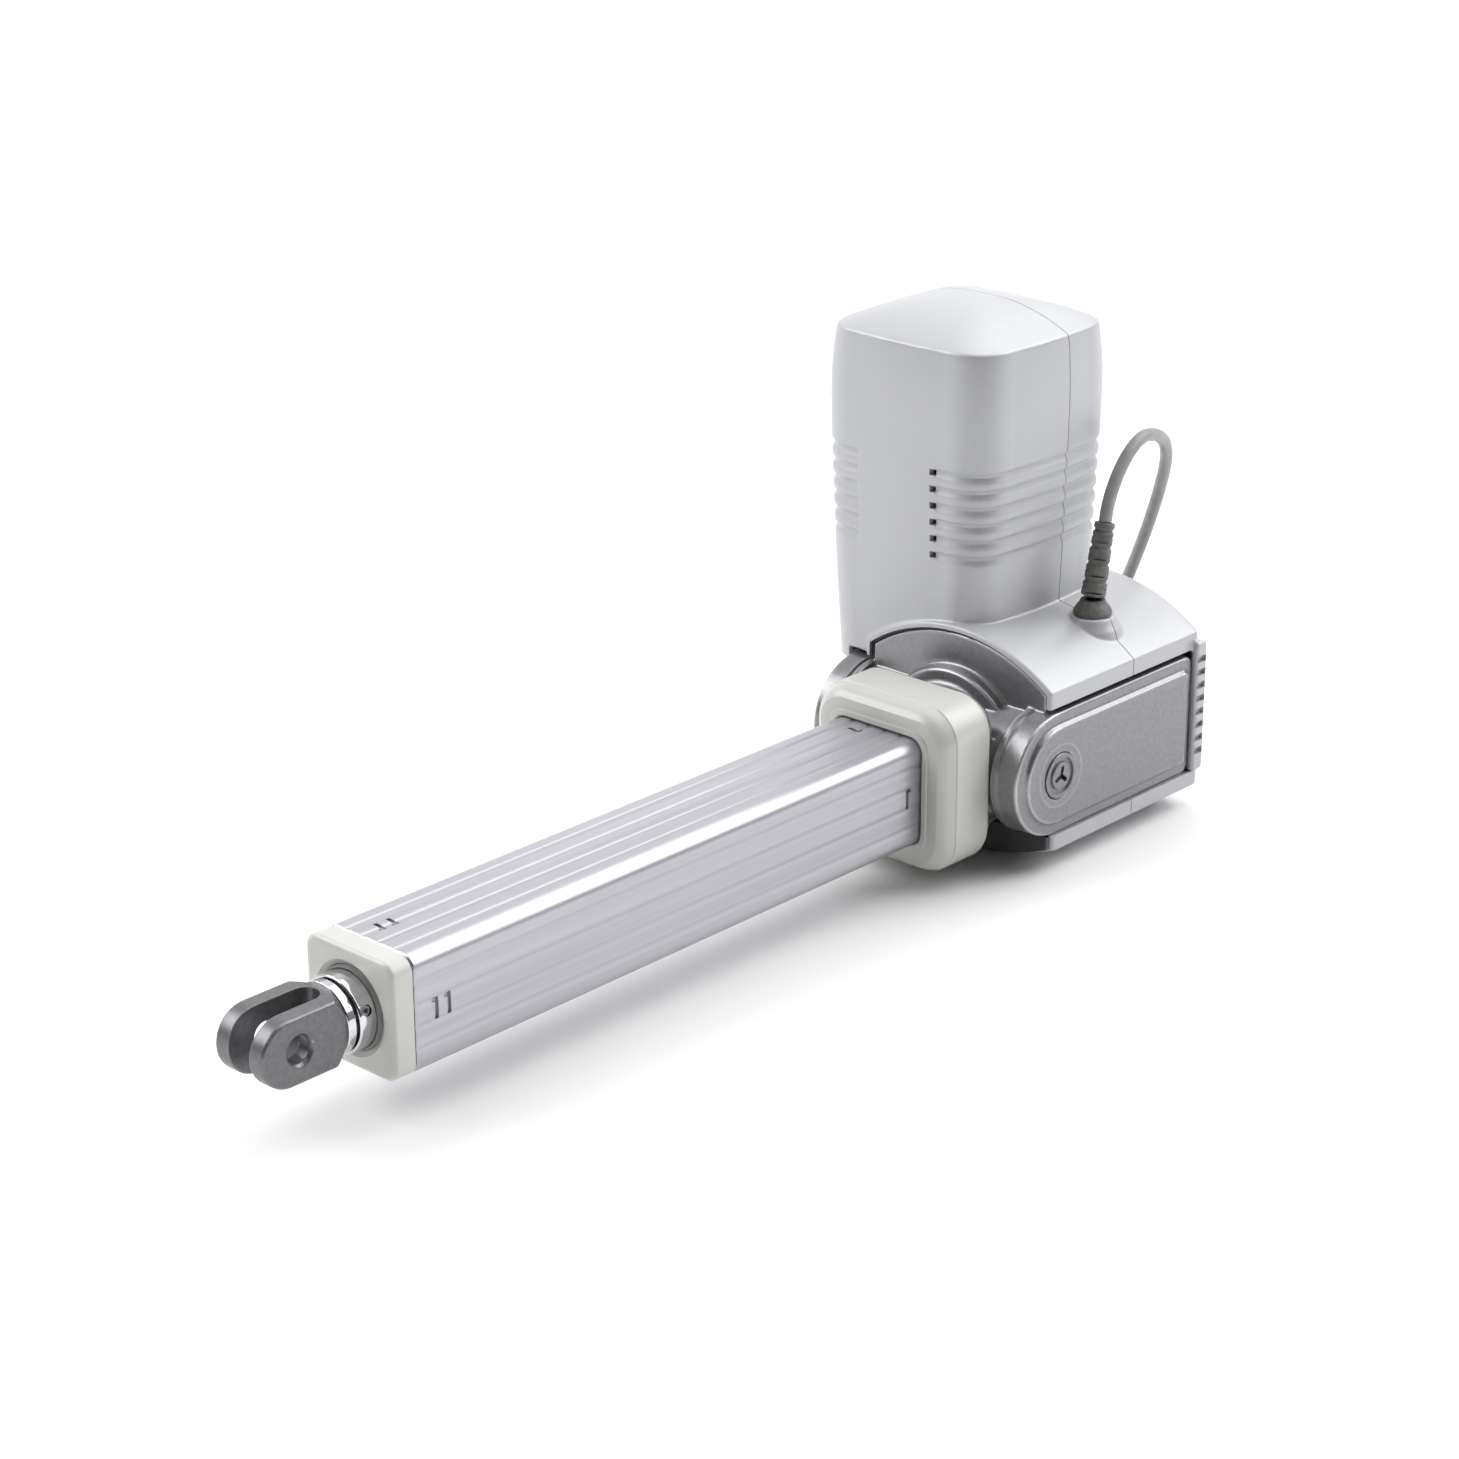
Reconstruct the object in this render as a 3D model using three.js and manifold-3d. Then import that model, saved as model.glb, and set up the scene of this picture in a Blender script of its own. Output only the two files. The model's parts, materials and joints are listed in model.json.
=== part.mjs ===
// Linear actuator: square extruded tube, push tube with front fork, worm gearbox and an upright motor hood.
// Millimetres. +X points from the gearbox to the front fork, +Z up along the motor, +Y to the plain side.
// The spindle axis is the line Y = 0, Z = 0 of the working frame, and X = 0 is the front end cap's face.
import * as THREE from 'three';
import { mergeVertices } from 'three/addons/utils/BufferGeometryUtils.js';
import Module from 'manifold-3d';

const wasm = await Module();
wasm.setup();

// ---------- driving dimensions ----------
const GAP = 0.3;                      // clearance between neighbouring pieces
const TUBE = { half: 27, corner: 7, bore: 23.5, boreCorner: 4, front: -12, rear: -360 };
const GROOVE = { places: [-15, -5, 5, 15], width: 3, depth: 0.7 };
const CAP = { length: 12, insert: 38, lip: 7 };
const PUSH = { r: 17.5, bore: 14.2, front: 9, rear: -316 };
const FORK = { half: 15, slot: 6.5, hole: 6, front: 59, holeX: 39, slotBottom: 23 };
const COLLAR = { half: 42, corner: 18, front: -333, rear: -368, step: -360.3 };
const GEARBOX = { front: -392, rear: -514, seam: -457, near: 50, far: -60 };
const ARM = { x: -397, r: 31, rear: -505, near: 61, far: -72, raised: 2.4, border: 6, flange: 31.5 };
const COVER = { half: 58, apex: 62, radius: 94.1, bottom: 33.3, wall: 2.6 };
const SUMP = { half: 60, floor: -50, radius: 158, land: 16, top: -31.3 };
const HOOD = { x: -445, y: -40, corner: 21, rim: 196, top: 208, foot: 26, wall: 2.6 };
const WORM = { y: -40, pitch: 8.5, module: 1.75, teeth: 36 };
const SPINDLE = { lead: 10, crest: 9, root: 7, journal: 8.7, front: -46, threadRear: -345, rear: -484 };
const THREAD = { perTurn: 6, foot: 6.4, top: 2.6 };
const GLAND = { x: -457, y: 32, base: 59.5, lean: 12 };
const REAR_FORK = { flange: -508.3, holeX: -538 };
const CORD = { r: 3.25, coilX: -600, coilY: -92, inner: 26.2, outer: 46.8, floor: -48.7, height: 19.9 };
const axialPitch = Math.PI * WORM.module;
const wheelPitch = (WORM.module * WORM.teeth) / 2;

// ---------- finishes ----------
function finish(color, roughness, metalness = 0) {
  return new THREE.MeshStandardMaterial({ color, roughness, metalness });
}

const shell = finish(0xd0d0d6, 0.45);
const capPlastic = finish(0xc8cac4, 0.5);
const casting = finish(0x96969c, 0.5, 0.6);
const extrusion = finish(0xc9c8d0, 0.3, 0.9);
const chrome = finish(0xdadada, 0.12, 1);
const darkCast = finish(0x4a4a4c, 0.55, 0.5);
const steel = finish(0x9a9a9a, 0.35, 0.9);
const bronze = finish(0xb08d4f, 0.4, 0.7);
const rubber = finish(0x5a5a58, 0.8);
const blackPlastic = finish(0x242426, 0.6);
const copper = finish(0xb06a3a, 0.4, 0.8);
const magnetGrey = finish(0x3c3c40, 0.6);
const boardGreen = finish(0x2d6a45, 0.6);
const nylon = finish(0xe6e4dc, 0.5);

// ---------- solids ----------
const rad = THREE.MathUtils.degToRad;

function solidOf(geometry) {
  const bare = geometry.clone();
  bare.deleteAttribute('normal');
  bare.deleteAttribute('uv');
  const merged = mergeVertices(bare, 1e-4);
  const corners = new Float32Array(merged.attributes.position.array);
  const faces = new Uint32Array(merged.index.array);
  const solid = new wasm.Manifold(new wasm.Mesh({ numProp: 3, vertProperties: corners, triVerts: faces }));
  if (solid.volume() > 0) return solid;
  const flipped = faces.map((_, i) => faces[i - (i % 3) + 2 - (i % 3)]);
  return new wasm.Manifold(new wasm.Mesh({ numProp: 3, vertProperties: corners, triVerts: flipped }));
}

function geometryOf(solid) {
  const { vertProperties, triVerts } = solid.getMesh();
  const geometry = new THREE.BufferGeometry();
  geometry.setAttribute('position', new THREE.BufferAttribute(vertProperties, 3));
  geometry.setIndex(new THREE.BufferAttribute(triVerts, 1));
  geometry.computeVertexNormals();
  return geometry;
}

const union = (first, ...others) => others.reduce((sum, next) => sum.add(next), first);
const cut = (first, ...others) => others.reduce((rest, next) => rest.subtract(next), first);

// axis 'x' sends a section's (x, y) to (Y, Z); axis 'y' sends it to (X, Z); axis 'z' leaves it
function orient(geometry, axis) {
  const basis = new THREE.Matrix4();
  if (axis === 'x') basis.set(0, 0, 1, 0, 1, 0, 0, 0, 0, 1, 0, 0, 0, 0, 0, 1);
  if (axis === 'y') basis.makeRotationX(Math.PI / 2);
  return geometry.applyMatrix4(basis);
}

function slab(shape, from, to, axis, curveSegments = 4) {
  const depth = to - from;
  const geometry = new THREE.ExtrudeGeometry(shape, { depth, bevelEnabled: false, curveSegments });
  geometry.translate(0, 0, axis === 'y' ? -to : from);
  return solidOf(orient(geometry, axis));
}

function block(x0, x1, y0, y1, z0, z1) {
  const geometry = new THREE.BoxGeometry(x1 - x0, y1 - y0, z1 - z0);
  return solidOf(geometry.translate((x0 + x1) / 2, (y0 + y1) / 2, (z0 + z1) / 2));
}

// turned piece: profile points are [radius, place along the axis]
function turned(points, axis = 'x', segments = 18) {
  const profile = points.map(([r, along]) => new THREE.Vector2(r, along));
  const geometry = new THREE.LatheGeometry(profile, segments);
  if (axis === 'x') geometry.rotateZ(-Math.PI / 2);
  if (axis === 'z') geometry.rotateX(Math.PI / 2);
  return solidOf(geometry);
}

function rod(r, from, to, axis, segments) {
  return turned([[0, from], [r, from], [r, to], [0, to]], axis, segments);
}

function ring(inner, outer, from, to, axis, segments) {
  return turned([[inner, from], [outer, from], [outer, to], [inner, to], [inner, from]], axis, segments);
}

function roundedRect(halfWide, halfHigh, corner, x = 0, y = 0) {
  const shape = new THREE.Shape();
  shape.absarc(x + halfWide - corner, y + halfHigh - corner, corner, 0, Math.PI / 2);
  shape.absarc(x - halfWide + corner, y + halfHigh - corner, corner, Math.PI / 2, Math.PI);
  shape.absarc(x - halfWide + corner, y - halfHigh + corner, corner, Math.PI, 1.5 * Math.PI);
  shape.absarc(x + halfWide - corner, y - halfHigh + corner, corner, 1.5 * Math.PI, 2 * Math.PI);
  shape.closePath();
  return shape;
}

const squareRod = (half, corner, from, to) => slab(roundedRect(half, half, corner), from, to, 'x');

const quad = ([a, b, c, d]) => [a, b, c, a, c, d];

// threaded rod along Z, single start, right-handed. Each meridian is one line of points from end to end,
// and the thread's two run-outs are flat steps on meridian 0.
function threadedRod({ root, crest, footWidth, crestWidth, lead, first, turns, perTurn, from, to }) {
  const corners = [];
  const faces = [];
  const [foot, top] = [footWidth / 2, crestWidth / 2];
  const perTooth = [[root, -foot], [crest, -top], [crest, top], [root, foot]];
  const add = (r, angle, z) => corners.push(r * Math.cos(angle), r * Math.sin(angle), z) / 3 - 1;
  const start = [];
  const end = [];
  const teeth = [];
  for (let j = 0; j < perTurn; j++) {
    const angle = (2 * Math.PI * j) / perTurn;
    start.push(add(root, angle, from));
    end.push(add(root, angle, to));
    const count = j === 0 ? turns + 1 : turns;
    teeth.push(Array.from({ length: count }, (_, m) =>
      perTooth.map(([r, along]) => add(r, angle, first + lead * (m + j / perTurn) + along))));
  }
  const strip = (left, right) => {
    for (let i = 0; i + 1 < left.length; i++) {
      faces.push(left[i], right[i], right[i + 1], left[i], right[i + 1], left[i + 1]);
    }
  };
  const fan = (tip, others) => {
    for (let i = 0; i + 1 < others.length; i++) faces.push(tip, others[i], others[i + 1]);
  };
  for (let j = 0; j < perTurn; j++) {
    const last = j === perTurn - 1;
    const left = teeth[j].slice(0, turns).flat();
    const right = last ? teeth[0].slice(1).flat() : teeth[j + 1].slice(0, turns).flat();
    strip(left, right);
    const next = (j + 1) % perTurn;
    const head = last ? [start[0], teeth[0][0][0], teeth[0][0][3], right[0]] : [start[next], right[0]];
    fan(left[0], [start[j], ...head]);
    const tail = j === 0 ? [right.at(-1), end[next], end[0], teeth[0][turns][3], teeth[0][turns][0]]
      : [right.at(-1), end[next], end[j]];
    fan(left.at(-1), tail);
  }
  faces.push(...quad(teeth[0][0]), ...quad([...teeth[0][turns]].reverse()));
  for (let j = 1; j + 1 < perTurn; j++) {
    faces.push(start[0], start[j + 1], start[j], end[0], end[j], end[j + 1]);
  }
  const geometry = new THREE.BufferGeometry();
  geometry.setAttribute('position', new THREE.BufferAttribute(new Float32Array(corners), 3));
  geometry.setIndex(faces);
  return solidOf(geometry);
}

// the assembly's named meshes, in the working frame
const machine = new THREE.Group();
const cordset = new THREE.Group();

function piece(name, solid, material, group = machine) {
  const mesh = new THREE.Mesh(geometryOf(solid), material);
  mesh.name = name;
  group.add(mesh);
  return mesh;
}

// ---------- outer tube ----------
function grooveCuts(half, from, to) {
  const { width, depth } = GROOVE;
  return GROOVE.places.flatMap((at) => [
    block(from, to, at - width / 2, at + width / 2, half - depth, half + 1),
    block(from, to, at - width / 2, at + width / 2, -half - 1, -half + depth),
    block(from, to, half - depth, half + 1, at - width / 2, at + width / 2),
    block(from, to, -half - 1, -half + depth, at - width / 2, at + width / 2),
  ]);
}

// punched marks that stake the tube to the end cap and to the collar
function stakeMarks() {
  const deep = TUBE.half - 1.3;
  const long = 4;
  return [-24, -31, -324].flatMap((x) => [
    block(x - 0.7, x + 0.7, -long - 6, long - 6, deep, TUBE.half + 1),
    block(x - 0.7, x + 0.7, deep, TUBE.half + 1, -long, long),
  ]);
}

function outerTube() {
  const { half, corner, bore, boreCorner, front, rear } = TUBE;
  const body = squareRod(half, corner, rear, front - GAP);
  const hollow = squareRod(bore, boreCorner, rear - 1, front + 1);
  return cut(body, hollow, ...grooveCuts(half, rear - 1, front + 1), ...stakeMarks());
}

function frontEndCap() {
  const { insert, length, lip } = CAP;
  const head = slab(roundedRect(TUBE.half, TUBE.half, TUBE.corner), -length, -1.2, 'x');
  const nose = slab(roundedRect(TUBE.half - 1.2, TUBE.half - 1.2, TUBE.corner - 1.2), -length, 0, 'x');
  const plug = squareRod(TUBE.bore - GAP, TUBE.boreCorner - GAP, -insert, -length + 1);
  return cut(
    union(head, nose, plug),
    rod(PUSH.r + 0.7, -insert - 1, 1, 'x'),
    rod(20.4, -insert - 1, -lip, 'x'),
    rod(20, -5, 1, 'x'),
    block(-insert - 1, -length - 4, -3.6, 3.6, 15, TUBE.half),
  );
}

piece('outer_profile', outerTube(), extrusion);
piece('front_end_cap', frontEndCap(), capPlastic);
piece('front_guide_bush', ring(PUSH.r + 0.4, 20.1, -CAP.insert + 1, -CAP.lip - GAP, 'x'), nylon);
const sealLip = [[17.9, -4.7], [19.7, -4.7], [19.7, 0.4], [18.7, 0.9], [17.9, 0.2], [17.9, -4.7]];
piece('wiper_seal', turned(sealLip), rubber);

// ---------- push tube, nut and front fork ----------
function pushTube() {
  const wall = ring(PUSH.bore, PUSH.r, PUSH.rear, PUSH.front, 'x', 24);
  return cut(wall, setScrewRod(2.6, 10, 22));
}

function setScrewRod(r, from, to) {
  return rod(r, from, to, 'z', 10).rotate([-70, 0, 0]).translate([4.6, 0, 0]);
}

function frontFork() {
  const { half, slot, hole, front, holeX, slotBottom } = FORK;
  const cheek = new THREE.Shape();
  cheek.moveTo(15, -half);
  cheek.lineTo(front - half, -half);
  cheek.absarc(front - half, 0, half, -Math.PI / 2, Math.PI / 2);
  cheek.lineTo(15, half);
  cheek.closePath();
  const flare = [[0, 15], [14.6, 15], [16.4, 17.5], [20, 26], [20, front + 1], [0, front + 1]];
  const blank = turned(flare, 'x', 20);
  const head = slab(cheek, -half, half, 'y', 6).intersect(blank);
  const shank = rod(13.8, -22, 16, 'x');
  const slotShape = new THREE.Shape();
  slotShape.absarc(slotBottom + slot, 0, slot, Math.PI / 2, 1.5 * Math.PI);
  slotShape.lineTo(front + 1, -slot);
  slotShape.lineTo(front + 1, slot);
  slotShape.closePath();
  const gapSolid = slab(slotShape, -half - 6, half + 6, 'z', 5);
  const bore = rod(hole, -half - 1, half + 1, 'z', 16).rotate([90, 0, 0]).translate([holeX, 0, 0]);
  const chamfers = [1, -1].map((side) =>
    turned([[0, half - 1.6], [hole - 0.2, half - 1.6], [hole + 2.4, half + 1], [0, half + 1]], 'z', 16)
      .rotate([side * -90, 0, 0]).translate([holeX, 0, 0]));
  const screwSeat = setScrewRod(2.6, 9, 22);
  return cut(union(head, shank), gapSolid, bore, ...chamfers, screwSeat);
}

// the spindle's thread over a stretch of whole turns, grown by `clearance` for the nut
function spindleThread(from, to, firstTurn, turns, clearance) {
  const swell = clearance > 0 ? 1 / Math.cos(Math.PI / THREAD.perTurn) : 1;
  return threadedRod({
    root: (SPINDLE.root + clearance) * swell, crest: (SPINDLE.crest + clearance) * swell,
    footWidth: THREAD.foot + 2 * clearance, crestWidth: THREAD.top + 2 * clearance, lead: SPINDLE.lead,
    first: SPINDLE.threadRear + 5 + firstTurn * SPINDLE.lead, turns, perTurn: THREAD.perTurn, from, to,
  }).rotate([0, 90, 0]);
}

function driveNut() {
  return cut(rod(13.9, -330, -297, 'x', 16), spindleThread(-346, -276, 0, 6, 0.4));
}

function guideShoe() {
  const body = squareRod(TUBE.bore - 0.4, TUBE.boreCorner - 0.4, -330, PUSH.rear - GAP);
  return cut(body, rod(14.2, -331, PUSH.rear + 1, 'x'), block(-331, -315, -4.4, 4.4, 19.6, 25));
}

piece('push_tube', pushTube(), chrome);
piece('rod_end_ring', ring(14.1, 16.6, 10.4, 14.6, 'x'), chrome);
piece('front_clevis', frontFork(), darkCast);
piece('set_screw', setScrewRod(2.2, 12.5, 16.9), steel);
piece('drive_nut', driveNut(), bronze);
piece('guide_shoe', guideShoe(), nylon);

// ---------- spindle line ----------
function spindle() {
  const { front, threadRear, rear, journal } = SPINDLE;
  const threaded = spindleThread(threadRear, front - GAP, 0, 28, 0);
  return union(threaded, rod(journal, rear, threadRear + 1, 'x', 16), rod(5, front - 2, front + 7, 'x', 10));
}

function wormWheel() {
  const tip = wheelPitch + 1.6;
  const root = wheelPitch - 2.1;
  const halfTooth = (r) => (2.1 / 2 + (wheelPitch - r) * Math.tan(rad(20))) / r;
  const outline = new THREE.Shape();
  for (let tooth = 0; tooth < WORM.teeth; tooth++) {
    const middle = (2 * Math.PI * (tooth + 0.5)) / WORM.teeth;
    for (const [r, side] of [[root, -1], [tip, -1], [tip, 1], [root, 1]]) {
      const angle = middle + side * halfTooth(r);
      const [x, y] = [r * Math.cos(angle), r * Math.sin(angle)];
      if (tooth === 0 && r === root && side === -1) outline.moveTo(x, y);
      else outline.lineTo(x, y);
    }
  }
  outline.closePath();
  const width = 14;
  const twist = (width * Math.tan(Math.atan(axialPitch / (2 * Math.PI * WORM.pitch)))) / wheelPitch;
  const geometry = new THREE.ExtrudeGeometry(outline, { depth: width, bevelEnabled: false });
  geometry.translate(0, 0, -width / 2);
  const spots = geometry.attributes.position;
  for (let i = 0; i < spots.count; i++) {
    const turn = (spots.getZ(i) / width) * twist;
    const [x, y] = [spots.getX(i), spots.getY(i)];
    spots.setXY(i, x * Math.cos(turn) - y * Math.sin(turn), x * Math.sin(turn) + y * Math.cos(turn));
  }
  const blank = solidOf(orient(geometry, 'x'));
  return cut(blank, rod(SPINDLE.journal + GAP, -10, 10, 'x')).translate([HOOD.x, 0, 0]);
}

function bearing(name, axis, at, width, radii, place = [0, 0, 0]) {
  const [inner, innerTop, outerBottom, outer] = radii;
  piece(`${name}_inner_ring`, ring(inner, innerTop, at, at + width, axis).translate(place), steel);
  piece(`${name}_outer_ring`, ring(outerBottom, outer, at, at + width, axis).translate(place), steel);
}

piece('spindle_screw', spindle(), steel);
piece('spindle_tip_guide', ring(5.3, 13.6, SPINDLE.front, SPINDLE.front + 6, 'x'), nylon);
piece('worm_wheel', wormWheel(), nylon);
piece('wheel_flange', ring(9, 16, -437.6, -429.4, 'x'), steel);
piece('spindle_lock_nut', cut(slab(hexagon(14), -460.6, -452.4, 'x'), rod(9, -470, -450, 'x')), steel);
bearing('front_bearing', 'x', -429, 11, [9, 12.3, 14.2, 17.2]);
piece('rear_bush', ring(9, 17.2, -478, -461, 'x'), bronze);

function hexagon(r) {
  const corners = Array.from({ length: 6 }, (_, k) => new THREE.Vector2(
    r * Math.cos((k * Math.PI) / 3), r * Math.sin((k * Math.PI) / 3)));
  return new THREE.Shape(corners);
}

// ---------- gearbox castings ----------
// upper and lower sections of the covers: an arc over two short upright sides, offset inwards by `inset`
function coverSection(inset, bottom) {
  const half = COVER.half - inset;
  const r = COVER.radius - inset;
  const centre = COVER.apex - COVER.radius;
  const reach = Math.asin(half / r);
  const shape = new THREE.Shape();
  shape.moveTo(-half, bottom);
  shape.lineTo(half, bottom);
  shape.absarc(0, centre, r, Math.PI / 2 - reach, Math.PI / 2 + reach);
  shape.closePath();
  return shape;
}

function sumpSection(inset, top) {
  const half = SUMP.half - inset;
  const r = SUMP.radius - inset;
  const centre = SUMP.floor + Math.sqrt(SUMP.radius ** 2 - SUMP.land ** 2);
  const reach = Math.asin(half / r);
  const land = Math.asin(SUMP.land / SUMP.radius);
  const shape = new THREE.Shape();
  shape.moveTo(half, top);
  shape.lineTo(-half, top);
  shape.absarc(0, centre, r, -Math.PI / 2 - reach, -Math.PI / 2 - land);
  shape.absarc(0, centre, r, -Math.PI / 2 + land, -Math.PI / 2 + reach);
  shape.closePath();
  return shape;
}

function armShape(r, rear, corner) {
  const shape = new THREE.Shape();
  shape.absarc(rear + corner, r - corner, corner, Math.PI / 2, Math.PI);
  shape.absarc(rear + corner, -r + corner, corner, Math.PI, 1.5 * Math.PI);
  shape.absarc(ARM.x, 0, r, -Math.PI / 2, Math.PI / 2);
  shape.closePath();
  return shape;
}

function acrossRod(r, y0, y1, segments) {
  return rod(r, y0, y1, 'z', segments).rotate([-90, 0, 0]).translate([ARM.x, 0, 0]);
}

const wormRod = (r, z0, z1, segments) => rod(r, z0, z1, 'z', segments).translate([HOOD.x, WORM.y, 0]);

// side arm from `inner` out to `face`: a plate of the full outline under a smaller raised one
function arm(inner, face) {
  const shelf = face - ARM.raised * Math.sign(face);
  const between = (shape, a, b, curves) => slab(shape, Math.min(a, b), Math.max(a, b), 'y', curves);
  const base = between(armShape(ARM.r, ARM.rear, 5), inner, shelf, 7);
  return base.add(between(armShape(ARM.r - ARM.border, ARM.rear + 4, 3), shelf - Math.sign(face), face, 6));
}

const collarScrewPlaces = [[29, 29], [-29, 29], [-29, -29], [29, -29]];
const plateScrewPlaces = [[42, 24], [-52, 0], [42, -24]];
const sumpScrewPlaces = [[-420, 44], [-485, 44]];

function gearHousing() {
  const { near, far } = GEARBOX;
  const wall = -399;
  const rearFace = -500;
  const upperWall = slab(coverSection(COVER.wall + GAP, -5), wall, -393.5, 'x', 8);
  const lowerWall = slab(sumpSection(SUMP.half - 55, 5), wall, -393.5, 'x', 5);
  const core = union(block(rearFace, wall + 1, far, near, -31, 33), rod(40, rearFace, wall + 1, 'x', 18));
  const wormTower = union(wormRod(17, -35.5, 58, 14), wormRod(33, 50, 58, 18));
  const arms = union(arm(near - 1, ARM.near), arm(far + 1, ARM.far));
  const flanges = [near - 5, far + 5].map((y) => acrossRod(ARM.flange, y - 2, y + 2, 18));
  const drum = union(acrossRod(29, far - 1, near + 1, 18), ...flanges);
  const neck = union(rod(41, -394, -387, 'x', 18), rod(33, -388, -373, 'x', 14),
    slab(roundedRect(37.5, 37.5, 15), -374, COLLAR.rear - GAP, 'x'));
  const body = union(upperWall, lowerWall, core, wormTower, arms, drum, neck);
  const spindleBores = [
    rod(12.2, -420, -360, 'x', 14),
    rod(17.6, -434.5, -417.7, 'x', 16),
    rod(35.8, rearFace - 1, -434.3, 'x', 18),
  ];
  const wormBores = [wormRod(13.2, -22, 60, 14), wormRod(11.4, -33.3, -21, 12)];
  const bosses = [acrossRod(12, ARM.near - 6, ARM.near + 1, 14), acrossRod(12, ARM.far - 1, ARM.far + 6, 14)];
  const screwHoles = [
    ...collarScrewPlaces.map(([y, z]) => rod(2.9, -375, -360, 'x', 6).translate([0, y, z])),
    ...plateScrewPlaces.map(([y, z]) => rod(2.9, -502, -484, 'x', 6).translate([0, y, z])),
    ...sumpScrewPlaces.map(([x, y]) => rod(2.9, -33, -18, 'z', 6).translate([x, y, 0])),
  ];
  return cut(body, ...spindleBores, ...wormBores, ...bosses, ...screwHoles);
}

function rearPlate() {
  const plate = slab(roundedRect(53.4, 30.6, 4, -5, 0), -508, -500.3, 'x');
  const boss = rod(23, -501, -461, 'x', 20);
  const holes = plateScrewPlaces.map(([y, z]) => rod(2.9, -520, -490, 'x', 6).translate([0, y, z]));
  return cut(union(plate, boss), rod(17.5, -500, -460, 'x', 20), rod(8.6, -520, -490, 'x', 16), ...holes);
}

function rearCollar() {
  const { half, corner, front, rear, step } = COLLAR;
  const soften = 3;
  const face = squareRod(half - soften, corner - soften, rear, front);
  const outer = union(squareRod(half, corner, rear, front - soften), face);
  const socket = squareRod(TUBE.half + GAP, TUBE.corner + GAP, step, front + 1);
  const holes = collarScrewPlaces.map(([y, z]) => rod(2.9, rear - 1, rear + 16, 'x', 6).translate([0, y, z]));
  return cut(outer, socket, rod(22, rear - 1, step + 1, 'x'), ...holes);
}

// pan head screw: the head's underside is at `head` and the shank runs from there to `tip`
function screw(axis, head, tip, r, headR, place) {
  const crown = head + 2.6 * Math.sign(head - tip);
  const shank = rod(r, Math.min(head, tip), Math.max(head, tip), axis, 6);
  const top = rod(headR, Math.min(head, crown), Math.max(head, crown), axis, 8);
  return union(shank, top).translate(place);
}

const wormRing = (inner, outer, z0, z1) => ring(inner, outer, z0, z1, 'z').translate([HOOD.x, WORM.y, 0]);

function numbered(places, name, make) {
  places.forEach((place, k) => piece(`${name}_${k + 1}`, make(place), steel));
}

piece('rear_collar', rearCollar(), capPlastic);
piece('gear_housing', gearHousing(), casting);
piece('housing_rear_plate', rearPlate(), casting);
numbered(collarScrewPlaces, 'collar_screw', ([y, z]) => screw('x', -374.3, -356, 2.4, 4.4, [0, y, z]));
numbered(plateScrewPlaces, 'plate_screw', ([y, z]) => screw('x', -508.3, -488, 2.4, 4.4, [0, y, z]));

// plain blanking caps in the two side bosses
function bossPlug(face, out) {
  const seat = face - 5.6 * out;
  const crown = face + 0.9 * out;
  const rimCut = face - 0.4 * out;
  const cap = acrossRod(11.5, Math.min(seat, crown), Math.max(seat, crown), 14);
  const dish = [Math.min(rimCut, crown + out), Math.max(rimCut, crown + out)];
  return cut(cap, acrossRod(8.6, ...dish, 14).subtract(acrossRod(6, -90, 90, 10)));
}

piece('boss_plug_near', bossPlug(ARM.near, 1), casting);
piece('boss_plug_far', bossPlug(ARM.far, -1), casting);

// ---------- covers and motor hood ----------
const hoodHalf = (z) => (z > 165 ? 53 - 2 * ((z - 165) / 31) ** 2 : 53 - 4 * ((165 - z) / 130) ** 1.5);

function hoodSolid(inset, foot) {
  const levels = [foot, 95, 165, HOOD.rim - inset].map((z) => [z, hoodHalf(z) - inset]);
  const dome = [[HOOD.rim + 7, 32], [HOOD.top, 8]];
  levels.push(...dome.map(([z, half]) => [z - inset, half]));
  const rows = levels.map(([z, half]) => {
    const corner = Math.min(HOOD.corner - inset, half * 0.42 + 1);
    return roundedRect(half, half, corner).getPoints(3).map(({ x, y }) => [x, y, z]);
  });
  const corners = rows.map((row) => row.slice(0, row.length - 1)).flat(2);
  const count = rows[0].length - 1;
  const faces = [];
  for (let k = 0; k + 1 < rows.length; k++) {
    for (let i = 0; i < count; i++) {
      const [a, b] = [k * count + i, k * count + ((i + 1) % count)];
      faces.push(a, b, b + count, a, b + count, a + count);
    }
  }
  const lid = (rows.length - 1) * count;
  for (let i = 1; i + 1 < count; i++) faces.push(0, i + 1, i, lid, lid + i, lid + i + 1);
  const geometry = new THREE.BufferGeometry();
  geometry.setAttribute('position', new THREE.BufferAttribute(new Float32Array(corners), 3));
  geometry.setIndex(faces);
  return solidOf(geometry).translate([HOOD.x, HOOD.y, 0]);
}

// six finger grooves that wrap the hood's sides and stop short of the middle of its front and rear faces
function hoodGrooves() {
  const pitch = 8.35;
  const plainBand = block(HOOD.x - 80, HOOD.x + 80, HOOD.y - 24, HOOD.y + 24, 60, 160);
  return Array.from({ length: 6 }, (_, k) => {
    const z = 94.4 + k * pitch;
    const half = hoodHalf(z);
    const frame = (reach, corner) => roundedRect(reach, reach, corner, HOOD.x, HOOD.y);
    const band = slab(frame(half + 5, 24), z - 2, z + 2, 'z', 1);
    return cut(band, slab(frame(half - 2, HOOD.corner - 2), z - 3, z + 3, 'z', 2), plainBand);
  });
}

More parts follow.
